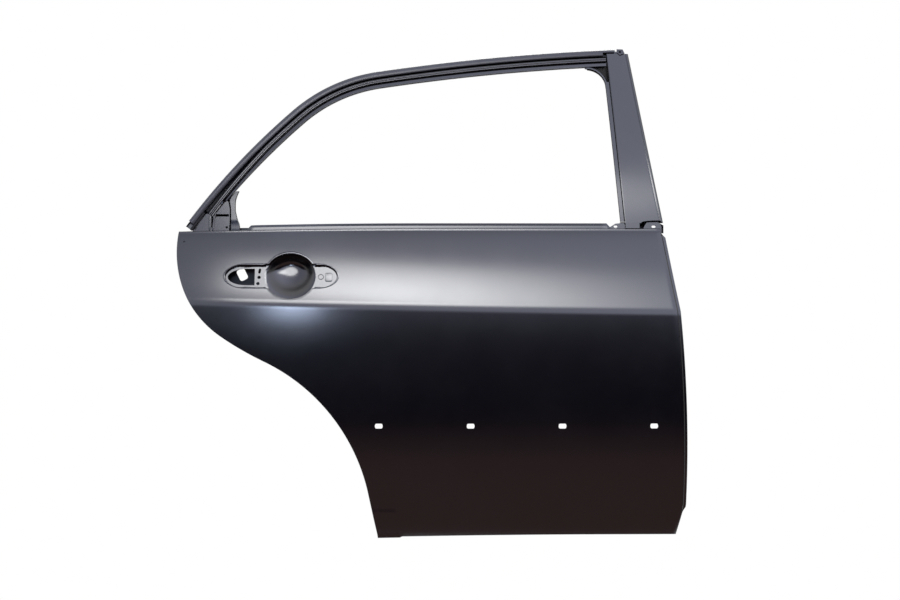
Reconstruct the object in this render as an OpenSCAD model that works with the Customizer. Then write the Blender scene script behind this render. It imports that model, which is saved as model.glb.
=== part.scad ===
// Bare right-hand rear side door shell of a passenger car, pressed and hemmed steel.
// Working axes: x forward from the rear edge, y inboard from the fullest line of the skin,
// z up from the lower edge. in_frame() moves them so that the origin is on the upper hinge face.

/* [Outline of the skin] */
// Foremost reach of the skin, up to the shoulder of its front step
front_x = 1040; // [1034:1:1044]
// Radius of the bowed front edge below the crease
front_r = 3058; // [2800:1:3300]
// Height at which the front edge reaches furthest forward
front_z = 170; // [160:1:180]
// Lean of the front edge above the crease, rearward per unit of height
front_lean = 0.19; // [0.17:0.01:0.21]
// How far the lower edge lies below the working plane at the front
sill_z = 3.6; // [2:0.1:5]
// How much further the lower edge drops toward the wheel arch
sill_drop = 5.4; // [3:0.1:7]
// Height of the belt edge above the lower edge, amidships
belt_z = 626; // [622:1:630]
// How much the belt edge drops at the rear
belt_drop = 6; // [0:1:10]
// Height of the shoulder crease at the rear end
crease_rear_z = 478; // [470:1:484]
// Height of the shoulder crease at the front end
crease_front_z = 457; // [450:1:464]
// Sag of the shoulder crease amidships
crease_sag = 2; // [0:1:6]
// Radius of the wheel arch cut-out
arch_r = 390.8; // [380:0.1:400]
// Centre of the wheel arch, forward of the rear edge
arch_x = 9.6; // [5:0.1:14]
// Centre of the reverse curve above the arch, forward of the rear edge
haunch_x = 463.9; // [455:0.1:472]
// Centre of the reverse curve above the arch, above the lower edge
haunch_z = 956.4; // [945:0.1:965]
// Radius of the rear edge where it turns upright
rear_r = 213.7; // [205:0.1:222]
// Angle below the horizontal at which the two rear curves meet
rear_turn = 55.7; // [54:0.1:57]

/* [Form of the skin] */
// Sheet thickness of the pressings
sheet = 0.8; // [0.7:0.1:1.2]
// Radius of the body side seen from above
plan_r = 9000; // [7000:500:12000]
// Height of the fullest line of the skin
full_z = 250; // [230:5:270]
// Vertical radius between the fullest line and the crease
flank_r = 2600; // [2000:100:3500]
// Vertical radius below the fullest line
lower_r = 1300; // [1100:50:1800]
// Height below which the skin turns under more sharply
tuck_z = 50; // [44:1:54]
// Slope of the shoulder just above the crease
shoulder_slope = 0.4; // [0.3:0.02:0.46]
// Slope of the skin at the belt
belt_slope = 0.1; // [0.06:0.02:0.16]
// Width of the stepped-down band along the front edge
step_w = 8; // [6:0.5:10]
// Depth of that step
step_h = 5; // [3:0.5:6]
// Width of the folded hem lip
hem_w = 9; // [8:1:10]
// Height of the pressed step in the rear lower corner
corner_step = 1.6; // [1:0.2:2]

/* [Handle recess] */
// Bowl centre, forward of the rear edge
cup_x = 230; // [224:1:236]
// Bowl centre, above the lower edge
cup_z = 529; // [525:1:533]
// Width of the finger bowl's rim
bowl_w = 104; // [100:1:108]
// Height of the finger bowl's rim
bowl_h = 96; // [92:1:100]
// Depth of the bowl
bowl_depth = 25; // [22:1:27]
// Height of the long recess
recess_h = 47; // [44:1:50]
// Depth of the long recess
recess_depth = 7; // [5:1:9]
// Reach of the recess behind the bowl centre
recess_rear = 135; // [128:1:140]
// Reach of the recess ahead of the bowl centre
recess_front = 97; // [92:1:100]

/* [Clip holes] */
// First moulding clip hole, forward of the rear edge
clip_x = 413.5; // [410:0.5:416]
// Spacing of the moulding clip holes
clip_pitch = 188.5; // [186:0.5:190]
// Height of the moulding clip holes
clip_z = 221; // [215:1:226]

/* [Window frame] */
// Lean of the frame at the belt, inboard per unit of height
frame_lean = 0.2; // [0.16:0.01:0.24]
// Vertical radius of the frame
frame_r = 1500; // [1300:50:1800]
// Depth of the frame face behind the fullest line of the skin
frame_y = 47; // [45:1:50]
// Radius of the roof edge of the frame
roof_r = 4602; // [4400:1:4800]
// Radius of the upper rear corner of the frame
brow_r = 342.4; // [335:0.1:350]
// Radius of the slanted rear side of the frame
slant_r = 1548; // [1530:1:1570]
// Width of the frame, from its roof edge to the window
rail_w = 36.5; // [35:0.5:38]

/* [Inner panel] */
// Depth of the trim face behind the fullest line of the skin
face_y = 104; // [100:1:108]
// Depth of the seal land behind the fullest line of the skin
land_y = 72; // [70:1:76]
// Width of the inner panel's stepped edge, from the hem to the trim face
edge_w = 35; // [34:1:37]
// Centre of the loudspeaker opening, forward of the rear edge
speaker_x = 700; // [694:1:706]
// Centre of the loudspeaker opening, above the lower edge
speaker_z = 145; // [140:1:150]
// Diameter of the circle of the loudspeaker's screws
speaker_circle = 170; // [168:1:172]

/* [Hinges and latch] */
// Height of the upper hinge above the lower edge
upper_hinge_z = 410; // [400:1:416]
// Height of the lower hinge above the lower edge
lower_hinge_z = 130; // [120:1:140]
// Plane of the hinge faces, forward of the rear edge
hinge_x = 1021; // [1020:0.5:1022]
// Depth of the hinge faces' middle behind the fullest line of the skin
hinge_y = 51; // [50:1:52]
// Spacing of the two bolts of a hinge
hinge_pitch = 44; // [40:1:48]
// Diameter of the hinge bolt holes
hinge_hole = 9; // [8.5:0.1:11]
// Size of a hinge seat across and along the shut face
hinge_seat = [38, 76];
// Height of the door check above the lower edge
check_z = 262; // [256:1:268]
// Spacing of the two bolts of the door check
check_pitch = 40; // [36:1:44]
// Plane of the latch face, forward of the rear edge
latch_x = 7; // [6:0.5:8]
// Depth of the latch screws' circle behind the fullest line of the skin
latch_y = 83; // [82:0.5:84]
// Diameter of the circle of the three latch screws
latch_circle = 36; // [34:1:38]
// Height of the latch above the lower edge
latch_z = 568; // [564:1:572]
// Diameter of the impact beam
beam_d = 32; // [28:1:36]

/* [Hidden] */
$fn = 48;
ecoat = [0.16, 0.16, 0.18];
plan_x = 560;

// Blend from a to b as t runs from 0 to 1
function mix(a, b, t) = a + (b - a) * t;
function clamp01(t) = min(1, max(0, t));
function unit(v) = v / norm(v);
function last(list) = list[len(list) - 1];

// Outline: heights and edges of the skin

// Height of the crease, of the belt edge and of the lower edge above x
function crease(x) = mix(crease_rear_z, crease_front_z, x / 1000)
    - 4 * crease_sag * (x / 1000) * (1 - x / 1000);
function belt(x) = belt_z - belt_drop * pow(clamp01(1 - x / 500), 2);
function sill(x) = -sill_z - sill_drop * pow(1 - clamp01((x - 410) / 480), 2);

// Wheel arch, reverse curve and rear edge are arcs that meet without a kink
haunch_r = norm([haunch_x - arch_x, haunch_z]) - arch_r;
haunch_start = arch_r * haunch_z / (haunch_r + arch_r);
rear_start = haunch_z - haunch_r * sin(rear_turn);
rear_cx = haunch_x - (haunch_r - rear_r) * cos(rear_turn);
rear_cz = haunch_z - (haunch_r - rear_r) * sin(rear_turn);
arch_foot = 89;
arch_foot_slope = -0.215;
function left(z) =
    z > rear_start ? rear_cx - sqrt(pow(rear_r, 2) - pow(z - rear_cz, 2))
    : z > haunch_start ? haunch_x - sqrt(pow(haunch_r, 2) - pow(haunch_z - z, 2))
    : z > arch_foot ? arch_x + sqrt(pow(arch_r, 2) - pow(z, 2))
    : arch_x + sqrt(pow(arch_r, 2) - pow(arch_foot, 2)) + arch_foot_slope * (z - arch_foot);
function bow(z) = front_x - pow(z - front_z, 2) / (2 * front_r);
function right(z) = z > crease_front_z ? bow(crease_front_z) - front_lean * (z - crease_front_z)
    : bow(z) - 0.22 * max(0, 44 - z);

// Width of the stepped band, which runs out at both ends
function step_at(z) = step_w * (0.15 + 0.85 * clamp01((z - 44) / 10) * clamp01((616 - z) / 6));

// Form: depth of the skin behind its fullest line
function plan(x) = pow(x - plan_x, 2) / (2 * plan_r);
function flank(z) = z > full_z ? pow(z - full_z, 2) / (2 * flank_r)
    : pow(full_z - z, 2) / (2 * lower_r) + (z < tuck_z ? pow(tuck_z - z, 2) / 300 : 0);
function shoulder(s, run) = shoulder_slope * s - (shoulder_slope - belt_slope) * s * s / (2 * run);
function skin_y(x, z) =
    let (zc = crease(x), run = belt_z - zc)
    plan(x) + flank(min(z, zc)) + (z > zc ? shoulder(min(z - zc, run), run) : 0);

// Depth of the face of the window frame, which runs on almost upright inside the door
function frame_depth(x, z) = frame_y + plan(x)
    + (z > belt_z ? frame_lean * (z - belt_z) + pow(z - belt_z, 2) / (2 * frame_r) : 0.05 * (z - belt_z));

// Sheets and sweeps

function left_normal(p, q) = let (d = unit(q - p)) [-d[1], d[0]];
function offset_line(line, t) = [for (i = [0:len(line) - 1])
    let (a = left_normal(line[max(0, i - 1)], line[max(1, i)]),
        b = left_normal(line[min(i, len(line) - 2)], line[min(i + 1, len(line) - 1)]),
        m = unit(a + b))
    line[i] + m * t / (m * a)];

// A strip of sheet: each station is a list of front points followed by as many back points
module ribbon(stations) {
    count = len(stations[0]);
    half = count / 2;
    turns = len(stations);
    // front points run forward and back points run backward around the section
    ring = [for (i = [0:count - 1]) i < half ? i : count - 1 - (i - half)];
    points = [for (s = stations) each s];
    walls = [for (k = [0:turns - 2], i = [0:count - 1])
        let (a = k * count + ring[i], b = k * count + ring[(i + 1) % count])
        each [[a, b, a + count], [b, b + count, a + count]]];
    cap = [for (i = [0:half - 2])
        each [[i, half + i, i + 1], [i + 1, half + i, half + i + 1]]];
    end = (turns - 1) * count;
    far_cap = [for (f = cap) [f[0] + end, f[2] + end, f[1] + end]];
    polyhedron(points, concat(walls, cap, far_cap), convexity = 8);
}

module in_frame() translate([-hinge_x, -hinge_y, -upper_hinge_z]) children();

// Lays a drawing made in x and z flat against the plane y = depth, thickness inboard
module upright(depth, thick) translate([0, depth + thick, 0]) rotate([90, 0, 0])
    linear_extrude(thick) children();

// Puts a drawing made in x and z against the frame's face at x, z, n behind it
module at_frame(x, z, n) translate([x, frame_depth(x, z) + n, z])
    rotate([-atan(frame_lean + (z - belt_z) / frame_r), 0, atan((x - plan_x) / plan_r)]) children();

module rounded_rect(w, h, r) offset(r) square([w - 2 * r, h - 2 * r], center = true);

// Outer skin: one sheet on a grid, folded over along its perimeter

low_rows = concat([0, 16, 33, tuck_z], [for (i = [0:22]) mix(tuck_z + 4, 466, i / 22)]);
high_rows = [8, 20, 36, 58, 84, 112, 136, 160];
skin_rows = concat([for (h = low_rows) h / 466], [for (h = high_rows) 1 + h / 160]);
corner_u = 0.074;
skin_cols = concat([0, corner_u / 2, corner_u, corner_u + 0.006], [for (i = [1:10]) mix(0.1, 1, i / 10)]);
step_cols = [[0.2, 0.5], [0.45, 1], [1, 1.1]];
col_count = len(skin_cols) + len(step_cols);
row_count = len(skin_rows);

// Height of row v above x: 0 is the lower edge, 1 the crease and 2 the belt edge
function row_z(x, v) = v < 1 ? mix(sill(x), crease(x), v) : mix(crease(x), belt(x), v - 1);
function row_left(v) = let (a = left(row_z(200, v)), b = left(row_z(a, v))) left(row_z(b, v));
function row_right(v) = right(row_z(1000, v));
function skin_point(c, v) =
    let (xl = row_left(v), xr = row_right(v))
    c < len(skin_cols)
    ? let (x = mix(xl, xr, skin_cols[c]), z = row_z(x, v),
        low = v * 466 <= tuck_z + 1 && skin_cols[c] <= corner_u + 0.001 ? 1 : 0)
        [x, skin_y(x, z) - low * corner_step, z - (v == 0 ? 2 * low : 0)]
    : let (s = step_cols[c - len(skin_cols)], z = row_z(xr, v), w = step_at(z))
        [xr + s[0] * w, skin_y(xr, z) + s[1] * step_h * clamp01(w / 4), z];

// Perimeter of the grid as [column, row, kind]: lower, front, belt and rear edges in turn
perimeter = concat(
    [for (c = [0:col_count - 1]) [c, 0]],
    [for (r = [1:row_count - 1]) [col_count - 1, r]],
    [for (c = [col_count - 2:-1:0]) [c, row_count - 1]],
    [for (r = [row_count - 2:-1:1]) [0, r]]);
belt_fold = 3.2;
belt_flange_from = 146;
belt_flange_to = 886;
function is_top(e) = e[1] == row_count - 1;
function on_flange(p) = p[0] > belt_flange_from && p[0] < belt_flange_to ? 1 : 0;
// Inward direction at an edge vertex, in x and z
function inward(e) = [e[0] == 0 ? 1 : e[0] == col_count - 1 ? -1 : 0, e[1] == 0 ? 1 : is_top(e) ? -1 : 0];
// Points of the fold, from the outer face round the edge to the free end and back
function fold(e, p) =
    let (d = inward(e), up = on_flange(p))
    is_top(e)
    ? [p + [d[0] * 0.4, belt_fold, 0], p + [d[0] * 2, belt_fold, 10 * up + 0.6],
        p + [d[0] * 2, belt_fold + sheet, 10 * up + 0.6], p + [d[0] * 1, belt_fold + sheet, -sheet]]
    : [p + [d[0] * 0.2, 3, d[1] * 0.2],
        p + [d[0] * hem_w, 3 + skin_drop(p, d), d[1] * hem_w],
        p + [d[0] * hem_w, 3 - sheet + skin_drop(p, d), d[1] * hem_w],
        p + [d[0] * 0.8, 3 - sheet, d[1] * 0.8]];
// Change of depth of the skin between the edge and the free end of the hem lip
function skin_drop(p, d) = skin_y(p[0] + d[0] * hem_w, p[2] + d[1] * hem_w) - skin_y(p[0], p[2]);

module skin_sheet() {
    n = col_count * row_count;
    outer = [for (r = [0:row_count - 1], c = [0:col_count - 1]) skin_point(c, skin_rows[r])];
    folds = [for (e = perimeter) fold(e, outer[e[1] * col_count + e[0]])];
    rings = [for (k = [0:3], f = folds) f[k]];
    inner = [for (r = [0:row_count - 1], c = [0:col_count - 1])
        let (d = [c == 0 ? 1 : c == col_count - 1 ? -1 : 0, r == 0 ? 1 : r == row_count - 1 ? -1 : 0])
        outer[r * col_count + c] + [d[0] * 0.7, sheet, d[1] * 0.7]];
    around = len(perimeter);
    back = n + 4 * around;
    sheets = [for (r = [0:row_count - 2], c = [0:col_count - 2])
        let (a = r * col_count + c, b = a + 1, e = a + col_count, f = e + 1)
        each [[a, e, b], [b, e, f], [back + a, back + b, back + e], [back + b, back + f, back + e]]];
    loops = concat([[for (e = perimeter) e[1] * col_count + e[0]]],
        [for (k = [0:3]) [for (i = [0:around - 1]) n + k * around + i]],
        [[for (e = perimeter) back + e[1] * col_count + e[0]]]);
    edges = [for (k = [0:4], i = [0:around - 1])
        let (j = (i + 1) % around, p = loops[k], q = loops[k + 1])
        each [[p[i], p[j], q[i]], [p[j], q[j], q[i]]]];
    polyhedron(concat(outer, rings, inner), concat(sheets, edges), convexity = 10);
}

// Handle recess, drawn in its own plane, which lies against the leaning shoulder

cup_lean = 16.5;
cup_turn = -2.1;
module at_cup() translate([cup_x, skin_y(cup_x, cup_z), cup_z]) rotate([-cup_lean, 0, cup_turn]) children();
// Long recess: straight sides and two rounded ends of different reach
module recess_outline(grow = 0) {
    half = recess_h / 2 + grow;
    rear_run = 46 + grow;
    front_run = 42 + grow;
    polygon(concat(
        [for (i = [0:12]) let (a = 90 + 15 * i)
            [-recess_rear + 46 + rear_run * cos(a), half * sin(a)]],
        [for (i = [0:12]) let (a = -90 + 15 * i)
            [recess_front - 42 + front_run * cos(a), half * sin(a)]]));
}
module bowl_outline(grow = 0) scale([bowl_w / 2 + grow, bowl_h / 2 + grow]) circle(1);
module cup_outline(grow = 0) {
    recess_outline(grow);
    bowl_outline(grow);
}
// Half of an ellipsoid whose rim lies grow outside the bowl's rim
module bowl_form(grow, depth) scale([bowl_w / 2 + grow, bowl_h / 2 + grow, depth]) sphere(1);
module outer_skin() color(ecoat) in_frame() difference() {
    skin_sheet();
    at_cup() rotate([90, 0, 0]) translate([0, 0, -20]) linear_extrude(40) cup_outline();
    for (i = [0:3]) translate([clip_x + i * clip_pitch, 0, clip_z]) cube([16, 30, 10], center = true);
}

module handle_cup() color(ecoat) in_frame() at_cup() rotate([90, 0, 0]) {
    floor_t = 1;
    difference() {
        union() {
            // side wall and floor of the long recess
            translate([0, 0, -recess_depth - floor_t]) linear_extrude(recess_depth + floor_t - 0.3)
                recess_outline(-0.2);
            // shell of the bowl
            intersection() {
                bowl_form(-0.3, bowl_depth + floor_t);
                translate([-80, -80, -40.3]) cube([160, 160, 40]);
            }
        }
        bowl_form(-0.3 - floor_t, bowl_depth);
        translate([0, 0, -recess_depth]) linear_extrude(20) recess_outline(-1.4);
        // lock cut-out behind the bowl
        translate([0, 0, -20]) linear_extrude(20) intersection() {
            recess_outline(-5);
            translate([-131, -20]) square([57, 40]);
        }
        // two screw holes, a slot and a small locating dimple
        translate([-65, -0.5, -20]) cylinder(d = 7, h = 20);
        translate([-67, -14, -20]) cylinder(d = 7, h = 20);
        translate([-64, 13, -20]) rotate([0, 0, -12]) linear_extrude(20) rounded_rect(5, 11, 2.4);
        translate([63, 0, -recess_depth - 0.5]) rotate_extrude() translate([4.5, 0]) square([1.6, 2]);
    }
}

// Inner panel: stepped edge that follows the skin's outline, and the trim face

wall_top = 630;
wall_left = 22;
wall_corner = 5;
wall_bottom = 8;
wall_right = 14;
wall_count = wall_left + 2 * wall_corner + wall_bottom + wall_right;
function slope_of(z) = (left(z + 1) - left(z - 1)) / 2;
function hem_right(z) = right(z) + step_at(z);
function corner_radius(d) = 8 + 0.5 * d;
// Point of station i, set d inside the outline, in x and z
function inset_point(i, d) =
    let (r = corner_radius(d), zc = d + r - 6,
        rear = [left(zc) + d * sqrt(1 + pow(slope_of(zc), 2)) + r, zc],
        front = [hem_right(zc) - d - r, zc + 3])
    i < wall_left
    ? let (z = mix(wall_top, zc, i / wall_left))
        [left(min(z, 622)) + d * sqrt(1 + pow(slope_of(min(z, 620)), 2)), z]
    : i < wall_left + wall_corner
    ? let (a = 180 + 90 * (i - wall_left) / wall_corner) rear + r * [cos(a), sin(a)]
    : i < wall_left + wall_corner + wall_bottom
    ? let (t = (i - wall_left - wall_corner) / wall_bottom, x = mix(rear[0], front[0], t))
        [x, mix(rear[1], front[1], t) - r]
    : i < wall_left + 2 * wall_corner + wall_bottom
    ? let (a = 270 + 90 * (i - wall_left - wall_corner - wall_bottom) / wall_corner)
        front + r * [cos(a), sin(a)]
    : let (t = (i - wall_left - 2 * wall_corner - wall_bottom) / wall_right, z = mix(front[1], wall_top, t))
        [hem_right(z) - d, z];

// Section of the stepped edge as [inset, depth]: the first three points follow the skin
edge_line = [[1.4, 2], [10.5, 2], [12, 4.5], [14.5, land_y - 3], [16.5, land_y], [25, land_y],
    [26.5, land_y + 2], [29, face_y - 3], [31, face_y], [edge_w, face_y]];
// Beside the latch and at the belt the edge is one deep wall without the seal land
deep_line = [[1.4, 2], [10.5, 2], [12, 4.5], [12.6, 80], [12.7, 86], [12.8, 91],
    [13, 95], [13.5, 99], [17, face_y], [edge_w, face_y]];
function deep_at(i, z) = i <= wall_left ? clamp01((z - 480) / 34)
    : i > wall_count - wall_right ? clamp01((z - 548) / 34) : 0;
// The front wall stays in one plane beside the hinges, so the hem flange widens below them
front_wall_x = hinge_x + 11.6;
nominal_y = 15;
function nominal(line) = [for (j = [0:len(line) - 1]) line[j] + [0, j < 3 ? nominal_y : 0]];
function edge_place(i, stepped, deep, j) =
    let (deepness = deep_at(i, inset_point(i, 14)[1]), p = mix(stepped, deep, deepness),
        q = inset_point(i, p[0]), zs = min(q[1], 620),
        x = j < 2 ? q[0] : min(q[0], front_wall_x - p[0]),
        step = i > wall_left + wall_corner + wall_bottom ? step_h * clamp01(step_at(zs) / 4) : 0)
    [x, j < 3 ? p[1] - nominal_y + skin_y(x, zs) + step : p[1], q[1]];
module shut_wall() color(ecoat) in_frame() {
    stepped = nominal(edge_line);
    deep = nominal(deep_line);
    stepped_back = offset_line(stepped, -sheet);
    deep_back = offset_line(deep, -sheet);
    points = [0:len(stepped) - 1];
    difference() {
        ribbon([for (i = [0:wall_count]) concat(
            [for (j = points) edge_place(i, stepped[j], deep[j], j)],
            [for (j = points) edge_place(i, stepped_back[j], deep_back[j], j)])]);
        // seats of the hinge plates, door check and latch
        for (z = [upper_hinge_z, lower_hinge_z]) translate([hinge_x - 3, hinge_y, z])
            cube([10, hinge_seat[0] + seat_gap, hinge_seat[1] + seat_gap], center = true);
        translate([hinge_x - 3, hinge_y, check_z]) cube([10, 32 + seat_gap, 60 + seat_gap], center = true);
        translate([latch_x + 2, latch_y - 3.5, latch_z]) cube([16, 38 + seat_gap, 68 + seat_gap], center = true);
    }
}
seat_gap = 0.4;

module face_outline() polygon([for (i = [0:wall_count])
    let (q = inset_point(i, edge_w)) [min(q[0], front_wall_x - edge_w), q[1]]]);
// A place on the trim face that is seen through a hole at x, z of the skin from far outside
function sight(x, z) = [x + (x - plan_x) * face_y / 6000, z + (z - 480) * face_y / 6000];
module raised_fields() {
    translate([760, 400]) rounded_rect(334, 224, 54);
    translate([400, 440]) rounded_rect(252, 162, 48);
    translate([480, 298]) rounded_rect(150, 56, 20);
    translate([500, 546]) rounded_rect(660, 14, 6.8);
    translate([846, 130]) rounded_rect(14, 120, 6.8);
    translate([906, 130]) rounded_rect(14, 120, 6.8);
    translate([955, 330]) rounded_rect(14, 130, 6.8);
}
module sunk_fields() {
    translate([speaker_x, speaker_z]) circle(d = 190);
    translate([510, 125]) rounded_rect(134, 144, 36);
}
// Drawn region pressed out of the sheet by depth, with its side wall
module pressed(depth) {
    upright(face_y - sheet + depth, sheet) children();
    upright(face_y - sheet + min(0, depth), sheet + abs(depth)) difference() {
        children();
        offset(-sheet) children();
    }
}
module face_holes() {
    // service openings
    translate([760, 400]) rounded_rect(300, 190, 40);
    translate([400, 440]) rounded_rect(220, 130, 35);
    translate([510, 125]) rounded_rect(110, 120, 30);
    // loudspeaker and its four screws
    translate([speaker_x, speaker_z]) circle(d = 150);
    for (a = [45, 135, 225, 315]) translate([speaker_x + speaker_circle / 2 * cos(a),
        speaker_z + speaker_circle / 2 * sin(a)]) circle(d = 5);
    // sight holes behind the moulding clips
    for (i = [0:3]) translate(sight(clip_x + i * clip_pitch, clip_z)) rounded_rect(18, 14, 4);
    // opening behind the handle recess
    translate(sight(134, 531.6)) rotate(26) rounded_rect(18, 24, 5);
    // oblong holes for trim clips and the pull handle
    for (p = [[140, 590], [340, 572], [560, 572], [780, 572], [958, 560], [962, 440], [966, 120],
        [660, 40], [480, 40], [860, 40], [300, 330], [180, 430], [445, 298], [515, 298]])
        translate(p) rounded_rect(11, 8, 3);
    // wiring grommet
    translate([952, 500]) rounded_rect(32, 22, 7);
}
module inner_face() color(ecoat) in_frame() difference() {
    union() {
        upright(face_y - sheet, sheet) difference() {
            face_outline();
            raised_fields();
            sunk_fields();
        }
        pressed(3) raised_fields();
        pressed(-6) sunk_fields();
    }
    upright(face_y - 10, 20) face_holes();
}

// Window frame, on a path of three arcs that meet without a kink
// lean of the path's outward direction behind upright, from the front end to the rear foot
lean_front = 2.53;
lean_brow = 8.66;
lean_slant = 41.71;
lean_foot = 53.9;
roof_c = [1100, 1012.4 - roof_r];
function aim(a) = [-sin(a), cos(a)];
brow_c = roof_c + (roof_r - brow_r) * aim(lean_brow);
slant_c = brow_c + (brow_r - slant_r) * aim(lean_slant);
// Point of the frame: a is the lean of the path there, e the distance in from the outer edge
// and n the depth behind the frame's face
function rail_point(a, e, n) =
    let (p = a < lean_brow ? roof_c + (roof_r - e) * aim(a)
            : a < lean_slant ? brow_c + (brow_r - e) * aim(a)
            : slant_c + (slant_r - e) * aim(a))
    [p[0], frame_depth(p[0], p[1]) + n, p[1]];
function rail_leans(from = lean_front, to = lean_foot) = concat(
    [for (i = [0:5]) mix(from, lean_brow, i / 6)],
    [for (i = [0:7]) mix(lean_brow, lean_slant, i / 8)],
    [for (i = [0:6]) mix(lean_slant, to, i / 6)]);
module rail_strip(line, t, leans = rail_leans()) {
    back = offset_line(line, t);
    ribbon([for (a = leans) concat(
        [for (p = line) rail_point(a, p[0], p[1])],
        [for (p = back) rail_point(a, p[0], p[1])])]);
}
// The moulding runs out in a narrow strip above the sash
module header_moulding() color([0.5, 0.5, 0.54]) in_frame() {
    rail_strip([[2, 7], [1, 3], [2.5, 0.8], [6, 0], [11, 0.8], [12, 3]], -1, rail_leans(2.72, 53.4));
    rail_strip([[2, 7], [1, 3], [2.5, 0.8], [5.6, 0.4]], -1, [2.4, 2.56, 2.74]);
}
// Toward the foot the ribs of the channel draw apart, and its inner band ends before them
rib_foot = 50.4;
function rib_drift(a, e) = 6 * clamp01((a - 45) / 7) * clamp01((e - 12.8) / 4) * clamp01((36 - e) / 6);
function rib_in(a, e) = a > rib_foot && e > 27 ? 27 + 0.04 * (e - 27) : e;
module header_channel() color(ecoat) in_frame() {
    line = [[12.4, 5], [12.8, 13], [16, 13], [17, 1], [18.4, 1], [20.2, 8], [21.4, 2], [23, 2],
        [25, 6], [27, 7], [29, 5], [36, 5]];
    back = offset_line(line, -0.9);
    leans = concat(rail_leans(2.65, rib_foot), [rib_foot + 0.3, 51.4, 52]);
    ribbon([for (a = leans) concat(
        [for (p = line) rail_point(a, rib_in(a, p[0]) + rib_drift(a, p[0]), p[1])],
        [for (p = back) rail_point(a, rib_in(a, p[0]) + rib_drift(a, p[0]), p[1])])]);
}
// Glass run channel behind the ribs, open toward the window
module header_run() color(ecoat) in_frame()
    rail_strip([[36.2, 7.2], [21.5, 10], [21.5, 27], [36.2, 27]], -0.8, rail_leans(2.65, 50.2));
module header_rail() color(ecoat) in_frame()
    rail_strip([[2.3, 5.5], [3.2, 14.1], [13, 14.1], [15, 39], [36.5, 39], [36.5, 28.2], [22, 28.2]], -1);
module moulding_end_block() color([0.05, 0.05, 0.05]) in_frame()
    ribbon([for (a = [52.2, 52.8, 53.4, 53.9]) concat(
        [rail_point(a, 13.5, 1.5), rail_point(a, 17.6, 1.5)],
        [rail_point(a, 13.5, 12.4), rail_point(a, 17.6, 12.4)])]);

// Sash along the front edge of the window
function sash_left(z) = 913.5 - 0.0906 * (z - belt_z);
function sash_right(z) = 1002.9 - 0.195 * (z - belt_z) + 0.000031 * pow(z - belt_z, 2);
sash_foot = 639;
sash_top = 999;
// Section points are [side, distance forward, depth]; below the plate the section narrows
function sash_point(z, p) =
    let (low = z < sash_foot, e = p[1] - (low && p[0] == 1 ? 14 : 0),
        x = (p[0] == 0 ? sash_left(z) : sash_right(z)) + e, n = low ? max(p[2], 9.5) : p[2])
    [x, frame_depth(x, z) + n, z];
function sash_heights(from, to) = [for (i = [0:9]) mix(to, from, i / 9)];
module sash_strip(line, back, heights)
    ribbon([for (z = heights) concat([for (p = line) sash_point(z, p)], [for (p = back) sash_point(z, p)])]);
module sash_plate() color(ecoat) in_frame() difference() {
    sash_strip([[0, 9, 10], [0, 9, 3], [0, 11, 1], [1, -7, 1], [1, -2, 4], [1, 0, 8], [1, 0, 16]],
        [[0, 10, 10], [0, 10, 3.4], [0, 11.4, 2], [1, -7.4, 2], [1, -2.8, 4.8], [1, -1, 8.4], [1, -1, 16]],
        sash_heights(sash_foot, sash_top));
    // arched cut over the foot bracket
    upright(30, 60) polygon([[952, 630], [954, 638], [960, 642.5], [992, 644.5], [999, 640], [1010, 630]]);
}
module sash_channel() color(ecoat) in_frame()
    sash_strip([[0, 0, 4], [0, 7.8, 4], [0, 7.8, 11], [0, 18, 11], [0, 18, 26], [0, 0, 26]],
        [[0, 0, 5], [0, 6.8, 5], [0, 6.8, 12], [0, 17, 12], [0, 17, 25], [0, 0, 25]],
        sash_heights(642, 923));
module sash_rail() color(ecoat) in_frame()
    sash_strip([[0, 19, 2.1], [0, 19, 45.9], [1, -13, 45.9], [1, -12, 16.2], [1, -1.2, 16.2]],
        [[0, 20, 2.1], [0, 20, 44.9], [1, -14, 44.9], [1, -13, 15.2], [1, -1.2, 15.2]],
        concat(sash_heights(sash_foot + 0.2, sash_top), [sash_foot - 0.2, 606, 576]));

// Rounded corner of the glass run, with the web behind it
corner_c = [846, 924];
corner_r = 41;
module corner_run() color(ecoat) in_frame() {
    ribbon([for (i = [0:9]) let (a = 93 - 10.3 * i) concat(
        [for (p = [[0, 6], [3.5, 7], [3.5, 27], [0, 27]])
            let (x = corner_c[0] + (corner_r + p[0]) * cos(a), z = corner_c[1] + (corner_r + p[0]) * sin(a))
            [x, frame_depth(x, z) + p[1], z]],
        [for (p = [[0, 7], [2.6, 7.8], [2.6, 26], [0, 26]])
            let (x = corner_c[0] + (corner_r + p[0]) * cos(a), z = corner_c[1] + (corner_r + p[0]) * sin(a))
            [x, frame_depth(x, z) + p[1], z]])]);
    at_frame(corner_c[0], corner_c[1], 26.2) upright(0, 1.6) difference() {
        polygon([[2, 46.6], [8, 47.4], [44, 50.4], [52, 40], [57, 1], [42, 1], [30, 28]]);
        circle(r = corner_r + 1.5);
    }
}
// Pointed end bracket over the top of the sash, with a closing plate behind it
module header_end_bracket() color([0.5, 0.5, 0.54]) in_frame() at_frame(918, 1003, -1.6) difference() {
    union() {
        upright(0, 1.5) polygon([[-6.7, 6.5], [6, 6.2], [9.8, -3.2], [0, -6.8], [-6.7, -1.2]]);
        rotate([-90, 0, 0]) translate([0, 0, 1]) cylinder(d = 6.6, h = 9.5);
        upright(10, 1.2) polygon([[-26, -3.8], [-26, 1.4], [6, 2.6], [6, -3.8]]);
    }
    rotate([-90, 0, 0]) translate([0, 0, -1]) cylinder(d = 5, h = 9);
}

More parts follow.
